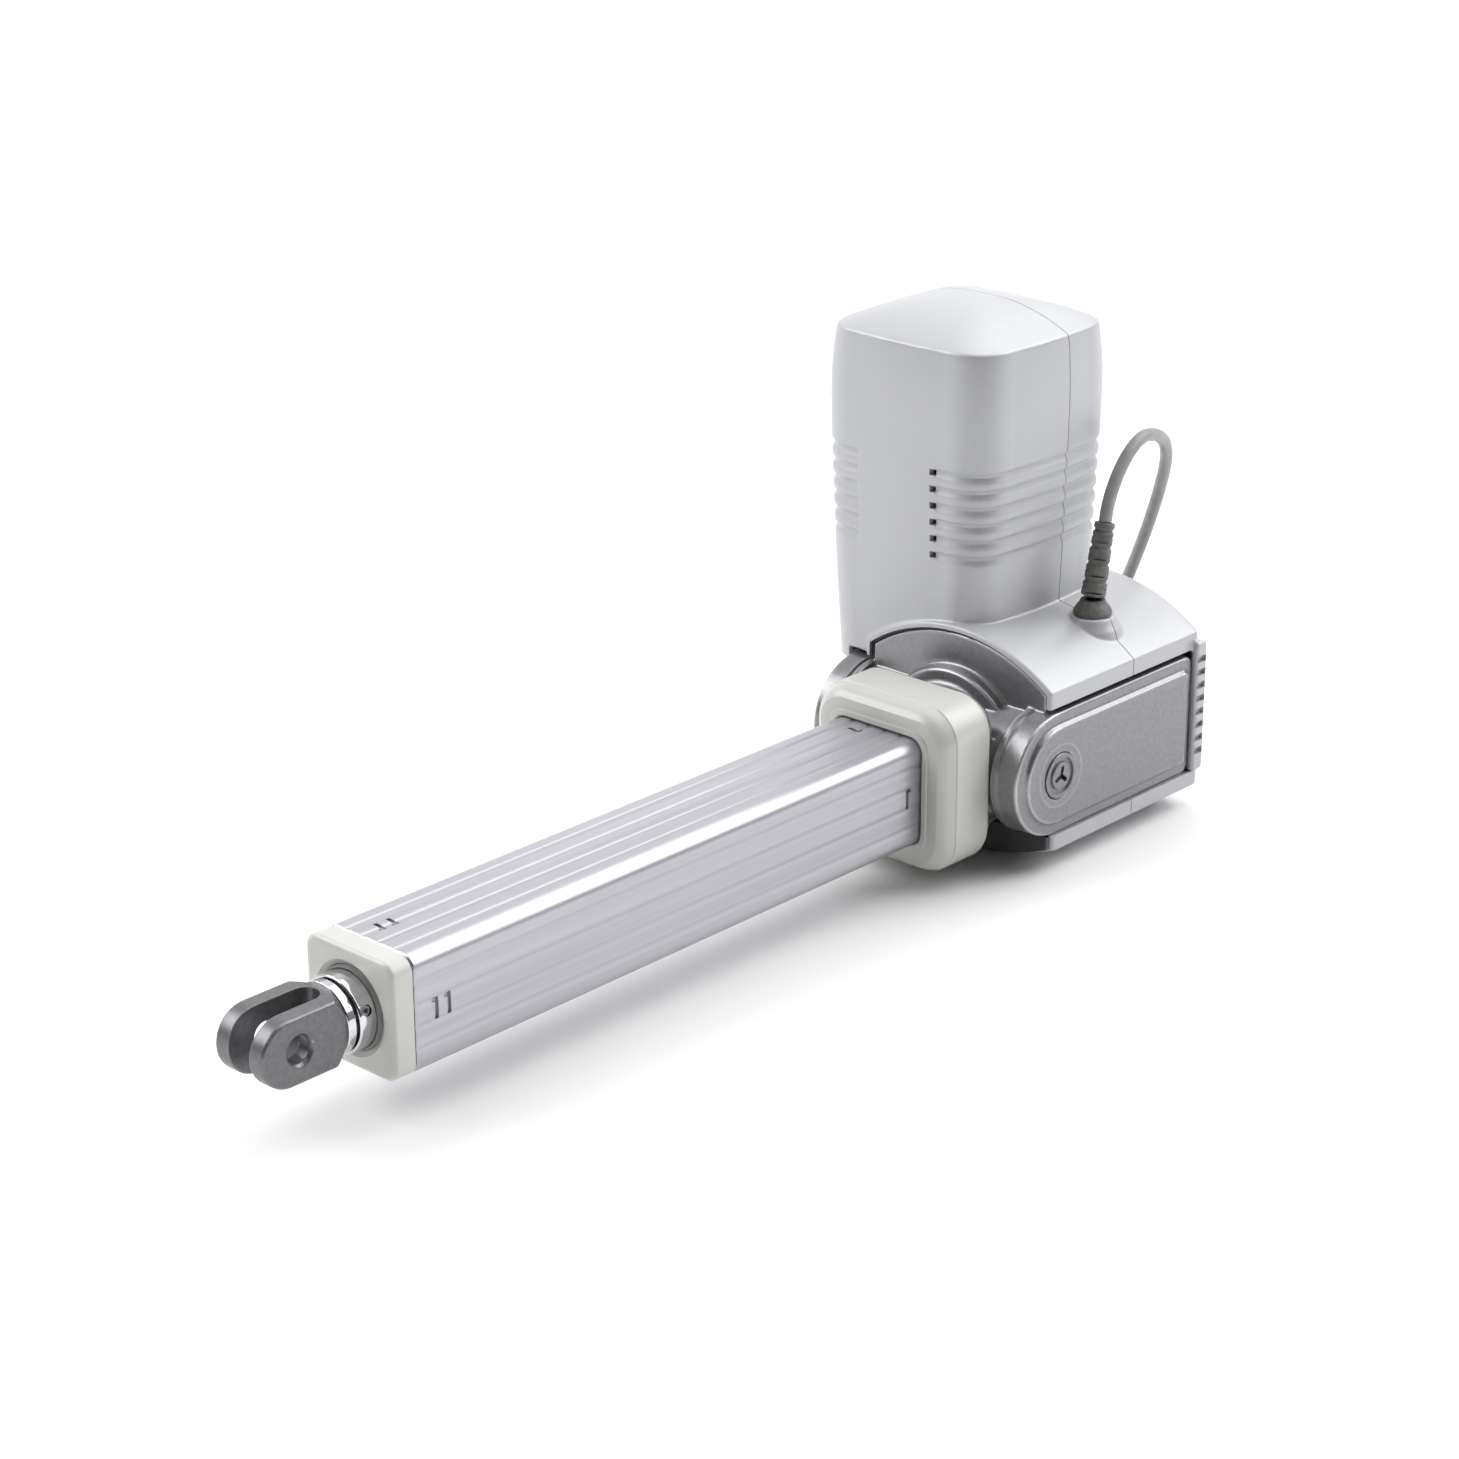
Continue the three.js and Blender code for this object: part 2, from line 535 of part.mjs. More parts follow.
function hoodAndCovers() {
  const arch = slab(coverSection(0, COVER.bottom), GEARBOX.rear, GEARBOX.front, 'x', 8);
  const archInside = slab(coverSection(COVER.wall, 28), GEARBOX.rear + 2.5, GEARBOX.front + 1, 'x', 6);
  const overGearbox = block(-520, -380, -73, 80, 0, COVER.bottom);
  const hood = hoodSolid(0, HOOD.foot).subtract(overGearbox);
  const hoodInside = hoodSolid(HOOD.wall, HOOD.foot + 3);
  const rearWall = block(GEARBOX.rear, GEARBOX.rear + 2.5, -58, 61.5, -30.8, COVER.bottom + 1);
  const nearCorner = block(GEARBOX.rear, -505.6, 58, 61.5, -30.8, 38);
  const glandBoss = turned([[0, 45], [13.5, 45], [12.5, 57], [10.6, GLAND.base], [0, GLAND.base]], 'z', 20)
    .translate([GLAND.x, GLAND.y, 0]);
  const ribGap = block(-513, -509.5, 59.6, 63, -1.7, 1.7);
  const ribGaps = Array.from({ length: 8 }, (_, k) => ribGap.translate([0, 0, 7 * k - 20.3]));
  const forkOpening = rod(22, -520, -505, 'x');
  const glandHole = union(rod(7, 40, 70, 'z', 14), rod(9.4, 40, GLAND.base - 6.2, 'z', 14))
    .translate([GLAND.x, GLAND.y, 0]);
  const outside = union(arch, hood, rearWall, nearCorner, glandBoss);
  return cut(outside, archInside, hoodInside, ...hoodGrooves(), ...ribGaps, forkOpening, glandHole);
}

function splitAt(solid, x) {
  const ahead = block(x + GAP / 2, 0, -200, 200, -200, 400);
  const behind = block(-800, x - GAP / 2, -200, 200, -200, 400);
  return [solid.intersect(ahead), solid.intersect(behind)];
}

function sump() {
  const outside = slab(sumpSection(0, SUMP.top), GEARBOX.rear, GEARBOX.front - 1.7, 'x', 5);
  const inside = slab(sumpSection(COVER.wall, SUMP.top + 5), GEARBOX.rear + 2.5, GEARBOX.front, 'x', 5);
  const hollow = inside.intersect(block(-600, -300, -80, 80, SUMP.floor + COVER.wall, 0));
  const bosses = sumpScrewPlaces.map(([x, y]) => rod(5.4, -42, SUMP.top, 'z', 10).translate([x, y, 0]));
  const holes = sumpScrewPlaces.flatMap(([x, y]) => [
    rod(2.9, -60, -20, 'z', 6).translate([x, y, 0]), rod(4.8, -60, -40.4, 'z', 10).translate([x, y, 0]),
  ]);
  return cut(union(cut(outside, hollow), ...bosses), ...holes);
}

const [hoodFront, hoodRear] = splitAt(hoodAndCovers(), GEARBOX.seam);
piece('hood_front_half', hoodFront, shell);
piece('hood_rear_half', hoodRear, shell);
const [sumpFront, sumpRear] = splitAt(sump(), GEARBOX.seam);
piece('bottom_cover_front', sumpFront, shell);
piece('bottom_cover_rear', sumpRear, shell);
numbered(sumpScrewPlaces, 'bottom_screw', ([x, y]) => screw('z', -40.7, -22, 2.2, 4.2, [x, y, 0]));

function frontGuard() {
  const plate = slab(sumpSection(1.5, -8), -393.2, -390.7, 'x', 5);
  return cut(plate, rod(41.6, -400, -380, 'x', 22), acrossRod(ARM.flange + 0.5, -90, 90, 20));
}

piece('front_lower_guard', frontGuard(), blackPlastic);

// ---------- motor ----------
// the thread passes Z = 0 on the wheel's side, +Y, where the wheel has a tooth space
function wormShaft() {
  const turns = 5;
  const worm = threadedRod({
    root: 6.5, crest: WORM.pitch + 1.6, footWidth: 3.35, crestWidth: 0.8, lead: axialPitch,
    first: -2.25 * axialPitch, turns, perTurn: 10, from: -20, to: 20,
  });
  const journals = union(rod(5, -33, -19.5, 'z', 12), rod(6, 19.5, 46, 'z', 12), rod(4, 45, 168, 'z', 12));
  return union(worm, journals).translate([HOOD.x, WORM.y, 0]);
}

const onMotor = (solid) => solid.translate([HOOD.x, HOOD.y, 0]);

function motorCan() {
  const wall = [[29, 58.3], [33, 58.3], [33, 61], [31.2, 62], [31.2, 150], [29, 150], [29, 58.3]];
  return onMotor(turned(wall, 'z', 20));
}

function motorEndCap() {
  const cup = [[5, 152], [9.6, 150.3], [31.2, 150.3], [31.2, 153], [10, 153], [8, 166], [5, 166], [5, 152]];
  return onMotor(turned(cup, 'z'));
}

function magnet(side) {
  const sector = block(-26, 26, 9, 40, 0, 200).rotate([0, 0, side > 0 ? 0 : 180]);
  return onMotor(ring(22.4, 28.4, 78, 130, 'z', 20).intersect(sector));
}

const SLOTS = 8;

function aroundMotor(make) {
  return Array.from({ length: SLOTS }, (_, k) => make().rotate([0, 0, (360 * k) / SLOTS]));
}

function armatureCore() {
  const slots = aroundMotor(() => block(13, 24, -2, 2, 70, 140));
  return onMotor(cut(ring(4.3, 21.2, 82, 126, 'z', 16), ...slots));
}

function armatureWinding() {
  const wires = aroundMotor(() => block(13.4, 18.2, -1.6, 1.6, 81, 127));
  return onMotor(union(ring(7, 18.5, 71, 81.7, 'z', 16), ring(7, 18.5, 126.3, 134, 'z', 16), ...wires));
}

piece('worm_shaft', wormShaft(), steel);
piece('armature_core', armatureCore(), magnetGrey);
piece('armature_winding', armatureWinding(), copper);
piece('commutator', onMotor(ring(4.3, 9.5, 136, 148, 'z', 20)), copper);
piece('motor_can', motorCan(), steel);
piece('motor_end_cap', motorEndCap(), blackPlastic);
piece('magnet_near', magnet(1), magnetGrey);
piece('magnet_far', magnet(-1), magnetGrey);
piece('brush_near', onMotor(block(-3, 3, 9.9, 22, 139, 146)), magnetGrey);
piece('brush_far', onMotor(block(-3, 3, -22, -9.9, 139, 146)), magnetGrey);
piece('worm_bush', wormRing(5.3, 11, -33, -22.4), bronze);
bearing('motor_bearing', 'z', 32, 9, [6.3, 8, 10, 12.7], [HOOD.x, WORM.y, 0]);
piece('circuit_board', block(-476, -414, 0, 1.6, 84, 150), boardGreen);

// two travel switches on one strip in the roof of the tube; the shoe runs in the gap between them
function switchStrip() {
  const strip = block(-350, -42, -3, 3, 21.2, 23.2);
  return union(strip, block(-64, -54, -3, 3, 18.3, 22), block(-344, -332, -3, 3, 18.3, 22));
}

piece('switch_strip', switchStrip(), boardGreen);

// ---------- rear fork ----------
function rearFork() {
  const { half, slot, hole } = FORK;
  const { flange, holeX } = REAR_FORK;
  const cheek = new THREE.Shape();
  cheek.absarc(holeX, 0, half, Math.PI / 2, 1.5 * Math.PI);
  cheek.lineTo(flange, -half);
  cheek.lineTo(flange, half);
  cheek.closePath();
  const slotShape = new THREE.Shape();
  slotShape.absarc(-524, 0, slot, -Math.PI / 2, Math.PI / 2);
  slotShape.lineTo(-560, slot);
  slotShape.lineTo(-560, -slot);
  slotShape.closePath();
  const bore = rod(hole, -half - 1, half + 1, 'z', 16).rotate([90, 0, 0]).translate([holeX, 0, 0]);
  const head = union(slab(cheek, -half, half, 'y', 9), rod(17.6, -511, flange, 'x'));
  const shank = rod(8, -490, flange - 1, 'x', 14);
  return cut(union(head, shank), slab(slotShape, -30, 30, 'z', 5), bore);
}

piece('rear_fork', rearFork(), darkCast);
piece('rear_fork_nut', cut(slab(hexagon(13), -499.7, -491, 'x'), rod(8.3, -510, -480, 'x', 14)), steel);

// ---------- cable gland and cord ----------
const gland = new THREE.Group();
gland.position.set(GLAND.x, GLAND.y, GLAND.base);
machine.add(gland);

function strainRelief() {
  const ribs = 4;
  const pitch = 8.4;
  const profile = [[0, 0]];
  for (let k = 0; k < ribs; k++) {
    const r = 6 - 0.27 * k;
    profile.push([r, k * pitch], [r, k * pitch + 6.4], [r - 1, k * pitch + 6.4], [r - 1, (k + 1) * pitch]);
  }
  profile.push([5.2, ribs * pitch], [5.2, ribs * pitch + 3], [0, ribs * pitch + 3]);
  return turned(profile, 'z', 10);
}

const barb = [[0, -9], [9, -9], [9, -6.5], [6.6, -6.3]];
const bell = [[6.6, 0.2], [9.2, 0.2], [9.2, 2], [7, 5], [6.2, 7.6], [0, 7.6]];
piece('cable_gland', turned([...barb, ...bell], 'z', 14), rubber, gland);
const relief = piece('strain_relief', strainRelief(), rubber, gland);
relief.position.z = 9.2;
relief.rotation.y = -rad(GLAND.lean);

// the cord's path from the strain relief, over the back of the gearbox and down to the coil on the floor
const cordPoints = [
  [-464.7, 32, 104.9], [-466.4, 32, 112.5], [-470.8, 31.6, 121], [-477.2, 31, 129], [-486.5, 30, 136],
  [-497.5, 28.3, 139.2], [-509.5, 25.8, 137.5], [-521.5, 22.3, 132.5], [-533, 17, 124.5],
  [-543.5, 10, 112.5], [-552, 1.5, 97], [-558.5, -7.5, 79], [-563.2, -17, 59], [-566, -27, 37],
  [-566.6, -37, 14], [-565.2, -48, -8], [-562, -60, -27],
];

function cordRun() {
  const path = new THREE.CatmullRomCurve3(cordPoints.map((point) => new THREE.Vector3(...point)));
  const section = new THREE.Shape();
  section.absarc(0, 0, CORD.r, 0, 2 * Math.PI);
  return solidOf(new THREE.ExtrudeGeometry(section, { steps: 30, extrudePath: path, curveSegments: 4 }));
}

function cordPlug() {
  const outline = [[0, 0], [3.4, 0], [4.6, 14], [6.8, 16], [6.8, 42], [6, 43], [6, 52], [0, 52]];
  return turned(outline, 'x', 12).rotate([0, 0, 90]).translate([CORD.coilX - 33, CORD.coilY, CORD.floor + CORD.height + 7.1]);
}

function cableTie() {
  const { coilX, coilY, inner, outer, floor, height } = CORD;
  const frame = block(inner - 1.4, outer + 1.4, -1.8, 1.8, floor - 1.3, floor + height + 1.4);
  const window = block(inner - 0.3, outer + 0.3, -3, 3, floor - 0.3, floor + height + 0.3);
  return cut(frame, window).rotate([0, 0, 215]).translate([coilX, coilY, 0]);
}

const coil = ring(CORD.inner, CORD.outer, CORD.floor, CORD.floor + CORD.height, 'z', 32);
piece('cord_run', cordRun(), rubber, cordset);
piece('cord_coil', coil.translate([CORD.coilX, CORD.coilY, 0]), rubber, cordset);
piece('cord_plug', cordPlug(), blackPlastic, cordset);
piece('cable_tie', cableTie(), blackPlastic, cordset);

// the origin is the middle of the machine's footprint, on the surface that its bottom cover rests on
const actuator = new THREE.Group();
actuator.add(machine, cordset);
const box = new THREE.Box3().setFromObject(machine, true);
actuator.position.set(-(box.min.x + box.max.x) / 2, -(box.min.y + box.max.y) / 2, -box.min.z);

export default actuator;
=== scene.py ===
"""Looks for a linear actuator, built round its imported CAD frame.

Shapes are made in millimetres in a working frame. X = 0 is the front end cap's face and the spindle axis is
Y = Z = 0. +X points to the front fork and +Z up along the motor. place() moves each shape into the row frame,
in metres.
"""
import json
import math

import bmesh
import bpy
from mathutils import Matrix, Vector


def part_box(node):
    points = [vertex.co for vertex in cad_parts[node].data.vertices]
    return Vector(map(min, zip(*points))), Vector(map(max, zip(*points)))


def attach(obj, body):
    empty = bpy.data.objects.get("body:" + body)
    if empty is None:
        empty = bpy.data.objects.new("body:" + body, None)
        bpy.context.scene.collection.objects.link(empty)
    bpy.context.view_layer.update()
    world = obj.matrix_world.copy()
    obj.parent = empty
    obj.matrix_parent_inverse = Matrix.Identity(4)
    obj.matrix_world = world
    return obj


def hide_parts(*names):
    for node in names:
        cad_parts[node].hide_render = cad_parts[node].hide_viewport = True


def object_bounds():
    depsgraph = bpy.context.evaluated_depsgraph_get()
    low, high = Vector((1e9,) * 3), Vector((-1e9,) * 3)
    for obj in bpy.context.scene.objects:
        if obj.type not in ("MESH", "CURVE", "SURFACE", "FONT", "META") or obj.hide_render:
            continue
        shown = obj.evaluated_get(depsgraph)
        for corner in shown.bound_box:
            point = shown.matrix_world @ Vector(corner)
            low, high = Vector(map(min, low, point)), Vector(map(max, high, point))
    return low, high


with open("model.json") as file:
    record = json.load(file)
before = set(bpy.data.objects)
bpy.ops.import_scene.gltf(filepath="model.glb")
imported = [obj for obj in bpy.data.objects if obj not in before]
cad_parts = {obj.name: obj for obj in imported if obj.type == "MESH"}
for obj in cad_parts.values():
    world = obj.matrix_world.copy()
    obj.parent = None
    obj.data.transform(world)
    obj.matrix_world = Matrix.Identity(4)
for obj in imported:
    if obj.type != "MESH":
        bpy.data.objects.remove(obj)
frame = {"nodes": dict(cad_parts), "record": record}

# ---------- the two frames ----------
cad_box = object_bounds()
profile_low, profile_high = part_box("outer_profile")
axis_middle = (profile_low + profile_high) / 2
ORIGIN = Vector((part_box("front_end_cap")[1].x, axis_middle.y, axis_middle.z))
TO_ROW = Matrix.Translation(ORIGIN) @ Matrix.Scale(0.001, 4)


def span(node):
    """Lowest and highest corner of a CAD node, in the working frame."""
    low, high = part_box(node)
    return TO_ROW.inverted() @ low, TO_ROW.inverted() @ high


# ---------- driving dimensions ----------
TUBE = span("outer_profile")
COLLAR = span("rear_collar")
COVER_REAR, COVER_FRONT = span("hood_rear_half")[0].x, span("hood_front_half")[1].x
SUMP_FLOOR, SUMP_TOP = span("bottom_cover_front")[0].z, span("bottom_cover_front")[1].z
HOOD_TOP = span("hood_front_half")[1].z
MOTOR = (span("motor_can")[0] + span("motor_can")[1]) / 2
PLUG_NEAR, PLUG_FAR = span("boss_plug_near"), span("boss_plug_far")
COIL = span("cord_coil")
SEAM = -457.0                 # where hood, covers and bottom covers are split
SEAM_GAP = 0.25               # each half stops this far from the seam
TUBE_CORNER = 7.0
COLLAR_CORNER = 18.0
ROD_R, ROD_BORE = 17.5, 14.2
FORK_HALF, FORK_SLOT, FORK_HOLE = 15.0, 6.5, 6.0    # half width, half slot and radius of the pin hole
SCREW_X, SCREW_TILT = 4.6, math.radians(-70)        # the grub screw's place along the rod and round it
FLANGE_X = -508.3             # face of the rear fork's flange
PLATE_X = -500.0              # where the housing ends and its rear plate begins
GLAND = Vector((-457.0, 32.0, 59.5))
GLAND_LEAN = math.radians(12)
HOOD_CORNER = 24.0
HOOD_RIM = 196.0
HOOD_HALF, HOOD_WIDEST = 53.0, 165.0    # half width where it is widest, and the height of that place
HOOD_BOW = 1.2                # how far the middle of a side stands out from its ends
COVER_HALF, COVER_ARC, COVER_CREST = 58.0, 94.1, 62.0    # upper outline: half width, radius and top
SUMP_HALF, SUMP_ARC, SUMP_LAND = 60.0, 158.0, 16.0       # lower outline: half width, radius, half its flat
COVER_WALL, SUMP_WALL, REAR_WALL = 2.7, 2.6, 2.5
GROOVE_PITCH, GROOVE_FIRST, GROOVE_COUNT, GROOVE_DEPTH = 8.35, 94.4, 6, 1.5
ARM_X, ARM_R, ARM_REAR = -397.0, 31.0, -505.0
CORD_R = 3.25


# ---------- camera ----------
def make_camera():
    """Camera fitted to the photo."""
    azimuth, elevation, roll = (math.radians(angle) for angle in (132.93, 21.53, -0.25))
    target, distance = Vector((-230.6, 0, 56.05)), 1578
    flat = math.cos(elevation)
    back = Vector((math.sin(azimuth) * flat, -math.cos(azimuth) * flat, math.sin(elevation)))
    right = Vector((0, 0, 1)).cross(back).normalized()
    up = back.cross(right)
    rolled_right = math.cos(roll) * right + math.sin(roll) * up
    rolled_up = math.cos(roll) * up - math.sin(roll) * right
    data = bpy.data.cameras.new("camera")
    data.sensor_width = 36
    data.lens = 86.36
    data.clip_end = 100
    camera = bpy.data.objects.new("camera", data)
    camera.matrix_world = Matrix((rolled_right, rolled_up, back)).transposed().to_4x4()
    camera.location = TO_ROW @ (target + distance * back)
    bpy.context.scene.collection.objects.link(camera)
    bpy.context.scene.camera = camera


make_camera()


# ---------- materials ----------
def finish(name, light, dark, rough, *, metallic=0.0, grain=60.0, stretch=(1, 1, 1), bump=0.0,
           bump_grain=900.0, bump_depth=0.0002, worn_and_lit_edge=None, coat=0.0, spread=(0.35, 0.65)):
    """Material whose colour runs between two tones and whose roughness and relief follow noise.

    worn_and_lit_edge is the lighter tone on convex edges, partly edge wear and partly a painted highlight;
    spread is where in the noise the two tones end.
    """
    material = bpy.data.materials.new(name)
    material.use_nodes = True
    nodes, links = material.node_tree.nodes, material.node_tree.links
    shader = nodes["Principled BSDF"]
    shader.inputs["Metallic"].default_value = metallic
    shader.inputs["Coat Weight"].default_value = coat
    shader.inputs["Coat Roughness"].default_value = 0.15
    coordinates = nodes.new("ShaderNodeTexCoord")
    mapping = nodes.new("ShaderNodeMapping")
    mapping.inputs["Scale"].default_value = stretch
    links.new(coordinates.outputs["Object"], mapping.inputs["Vector"])

    def noise(scale, detail):
        node = nodes.new("ShaderNodeTexNoise")
        node.inputs["Scale"].default_value = scale
        node.inputs["Detail"].default_value = detail
        links.new(mapping.outputs["Vector"], node.inputs["Vector"])
        return node.outputs["Fac"]

    broad = noise(grain, 5)
    tones = nodes.new("ShaderNodeValToRGB")
    for stop, position, tone in zip(tones.color_ramp.elements, spread, (dark, light)):
        stop.position = position
        stop.color = (*tone, 1)
    links.new(broad, tones.inputs["Fac"])
    colour = tones.outputs["Color"]
    # lighter tone on convex edges by pointiness: partly edge wear, partly a painted highlight
    if worn_and_lit_edge:
        edge = nodes.new("ShaderNodeMapRange")
        edge.inputs["From Min"].default_value = 0.508
        edge.inputs["From Max"].default_value = 0.565
        geometry = nodes.new("ShaderNodeNewGeometry")
        links.new(geometry.outputs["Pointiness"], edge.inputs["Value"])
        mix = nodes.new("ShaderNodeMix")
        mix.data_type = "RGBA"
        mix.inputs["B"].default_value = (*worn_and_lit_edge, 1)
        links.new(edge.outputs["Result"], mix.inputs["Factor"])
        links.new(colour, mix.inputs["A"])
        colour = mix.outputs["Result"]
    links.new(colour, shader.inputs["Base Color"])
    gloss = nodes.new("ShaderNodeMapRange")
    gloss.inputs["To Min"].default_value = rough * 0.85
    gloss.inputs["To Max"].default_value = min(1.0, rough * 1.15)
    links.new(broad, gloss.inputs["Value"])
    links.new(gloss.outputs["Result"], shader.inputs["Roughness"])
    if bump:
        relief = nodes.new("ShaderNodeBump")
        relief.inputs["Strength"].default_value = bump
        relief.inputs["Distance"].default_value = bump_depth
        links.new(noise(bump_grain, 3), relief.inputs["Height"])
        links.new(relief.outputs["Normal"], shader.inputs["Normal"])
    return material


def grey(value, warmth=0.0):
    """Neutral tone; warmth above 0 leans to green-yellow and below 0 to violet."""
    return (value * (1 + 0.4 * min(warmth, 0)), value * (1 + 0.15 * warmth), value * (1 - warmth))


LINES = (0.02, 1, 1)    # stretches a noise along X, as drawn or rolled metal shows
FINISHES = {
    "hood_plastic": finish("satin_silver_moulding", grey(0.50, -0.04), grey(0.47, -0.04), 0.43,
                           metallic=0.22, grain=9, bump=0.2, bump_grain=2600, bump_depth=0.00005, coat=0.04),
    "cap_plastic": finish("warm_grey_moulding", grey(0.555, 0.045), grey(0.52, 0.05), 0.34, grain=14,
                          bump=0.2, bump_grain=2200, bump_depth=0.00005, coat=0.25),
    # the casting's near-white edge tone is mostly a painted highlight on lit raised edges, with some edge
    # wear
    "gear_casting": finish("blasted_die_casting", (0.275, 0.275, 0.287), (0.225, 0.225, 0.235), 0.31,
                           metallic=0.65, grain=420, bump=0.4, bump_grain=1500, bump_depth=0.00014,
                           worn_and_lit_edge=(0.70, 0.70, 0.72), spread=(0.3, 0.7)),
    "extrusion": finish("anodised_profile", (0.49, 0.48, 0.518), (0.43, 0.42, 0.455), 0.35, metallic=0.8,
                        grain=200, stretch=LINES, bump=0.12, bump_grain=700, bump_depth=0.00005),
    "chrome_tube": finish("hard_chrome", (0.66, 0.66, 0.68), (0.58, 0.58, 0.60), 0.08, metallic=1.0,
                          grain=500, stretch=LINES, bump=0.05, bump_grain=3000, bump_depth=0.00003),
    # the forging's lighter edge tone is partly edge wear and partly a painted highlight on its chamfers
    "dark_casting": finish("phosphated_forging", (0.165, 0.165, 0.173), (0.132, 0.132, 0.139), 0.33,
                           metallic=0.6, grain=420, bump=0.4, bump_grain=1500, bump_depth=0.00014,
                           worn_and_lit_edge=(0.28, 0.28, 0.29)),
    "machined_steel": finish("turned_steel", (0.55, 0.55, 0.56), (0.40, 0.40, 0.42), 0.28, metallic=1.0,
                             grain=300, bump=0.2, bump_grain=1800, bump_depth=0.00006),
    "bearing_bronze": finish("sintered_bronze", (0.50, 0.33, 0.13), (0.38, 0.24, 0.09), 0.40, metallic=0.9,
                             grain=400, bump=0.3, bump_grain=2400, bump_depth=0.00008),
    "seal_rubber": finish("nitrile_rubber", (0.050, 0.050, 0.052), (0.035, 0.035, 0.037), 0.5, grain=120,
                          bump=0.4, bump_grain=1800, bump_depth=0.0001),
    "gland_rubber": finish("grey_rubber", (0.15, 0.15, 0.142), (0.10, 0.10, 0.094), 0.55, grain=300,
                           bump=0.5, bump_grain=1600, bump_depth=0.00014),
    "cord_sheath": finish("grey_sheath", (0.31, 0.31, 0.30), (0.25, 0.25, 0.24), 0.42, grain=90,
                          bump=0.3, bump_grain=1500, bump_depth=0.00008),
    "black_plastic": finish("black_moulding", (0.060, 0.060, 0.063), (0.045, 0.045, 0.047), 0.40, grain=90,
                            bump=0.3, bump_grain=2000, bump_depth=0.00008),
    "winding_copper": finish("enamelled_copper", (0.46, 0.17, 0.06), (0.30, 0.10, 0.035), 0.32,
                             metallic=0.9, grain=900, bump=0.5, bump_grain=1800, bump_depth=0.0003),
    "magnet_ferrite": finish("ferrite", (0.05, 0.05, 0.055), (0.03, 0.03, 0.033), 0.55, metallic=0.3,
                             grain=500, bump=0.3, bump_grain=2200, bump_depth=0.0001),
    "board": finish("circuit_board", (0.03, 0.12, 0.06), (0.02, 0.08, 0.04), 0.4, grain=350, bump=0.3,
                    bump_grain=900, bump_depth=0.0002, coat=0.3),
    "nylon": finish("natural_nylon", (0.72, 0.70, 0.64), (0.66, 0.64, 0.58), 0.45, grain=60, bump=0.2,
                    bump_grain=1800, bump_depth=0.00006),
    # the last two are looks for the boss caps and the wiper, not material slots of the record
    "cap_casting": finish("smooth_die_casting", (0.255, 0.255, 0.267), (0.21, 0.21, 0.22), 0.36,
                          metallic=0.65, grain=420, bump=0.3, bump_grain=1500, bump_depth=0.0001),
    "lip_rubber": finish("grey_lip", (0.24, 0.24, 0.235), (0.20, 0.20, 0.195), 0.45, grain=200,
                         bump=0.3, bump_grain=1800, bump_depth=0.00008),
}


# ---------- solids ----------
AXES = {
    "x": lambda a, b, along: (along, a, b),
    "y": lambda a, b, along: (a, along, b),
    "z": lambda a, b, along: (a, b, along),
}


def modify(obj, kind, **settings):
    """Applies one modifier to a shape."""
    modifier = obj.modifiers.new(kind, kind)
    for key, value in settings.items():
        setattr(modifier, key, value)
    graph = bpy.context.evaluated_depsgraph_get()
    baked = bpy.data.meshes.new_from_object(obj.evaluated_get(graph))
    obj.modifiers.clear()
    spent, obj.data = obj.data, baked
    bpy.data.meshes.remove(spent)
    return obj


def solid(points, faces):
    """Closed shape; points that coincide are joined and every face is turned outwards."""
    mesh = bpy.data.meshes.new("shape")
    mesh.from_pydata([tuple(point) for point in points], [], faces)
    shape = bmesh.new()
    shape.from_mesh(mesh)
    bmesh.ops.remove_doubles(shape, verts=shape.verts, dist=0.002)
    bmesh.ops.recalc_face_normals(shape, faces=shape.faces)
    shape.to_mesh(mesh)
    shape.free()
    obj = bpy.data.objects.new("shape", mesh)
    bpy.context.scene.collection.objects.link(obj)
    return obj


def loft(rings, hollow=False):
    """Skin over rings of equal count; hollow joins the last ring to the first, as on a tube's wall."""
    count = len(rings[0])
    points = [point for ring in rings for point in ring]
    faces = []
    for k in range(len(rings) if hollow else len(rings) - 1):
        a, b = k * count, (k + 1) % len(rings) * count
        faces += [(a + i, a + (i + 1) % count, b + (i + 1) % count, b + i) for i in range(count)]
    if not hollow:
        faces += [tuple(reversed(range(count))), tuple(range(len(points) - count, len(points)))]
    return solid(points, faces)


def soften(corners, steps=5, closed=False):
    """Outline through corners (a, b, radius), with a round of that radius at each."""
    outline = []
    for k, (a, b, radius) in enumerate(corners):
        here = Vector((a, b))
        if radius == 0 or (not closed and k in (0, len(corners) - 1)):
            outline.append(here)
            continue
        before = Vector(corners[k - 1][:2]) - here
        after = Vector(corners[(k + 1) % len(corners)][:2]) - here
        reach = radius / math.tan(before.angle(after) / 2)
        start = here + before.normalized() * min(reach, before.length * 0.49)
        end = here + after.normalized() * min(reach, after.length * 0.49)
        for step in range(steps + 1):
            t = step / steps
            outline.append(start * (1 - t) ** 2 + here * 2 * t * (1 - t) + end * t * t)
    return outline


def turned(corners, axis="x", centre=(0, 0, 0), hollow=False, segments=72):
    """Turned shape from corners (radius, place along the axis, round); hollow for a closed ring section."""
    rings = []
    for r, along in soften(corners, closed=hollow):
        angles = [2 * math.pi * k / segments for k in range(segments)]
        ring = [AXES[axis](r * math.cos(angle), r * math.sin(angle), along) for angle in angles]
        rings.append([Vector(point) + Vector(centre) for point in ring])
    return loft(rings, hollow)


def cylinder(r, low, high, axis="x", centre=(0, 0, 0), segments=72):
    """Plain cylinder between two places along an axis."""
    return turned([(0, low, 0), (r, low, 0), (r, high, 0), (0, high, 0)], axis, centre, segments=segments)


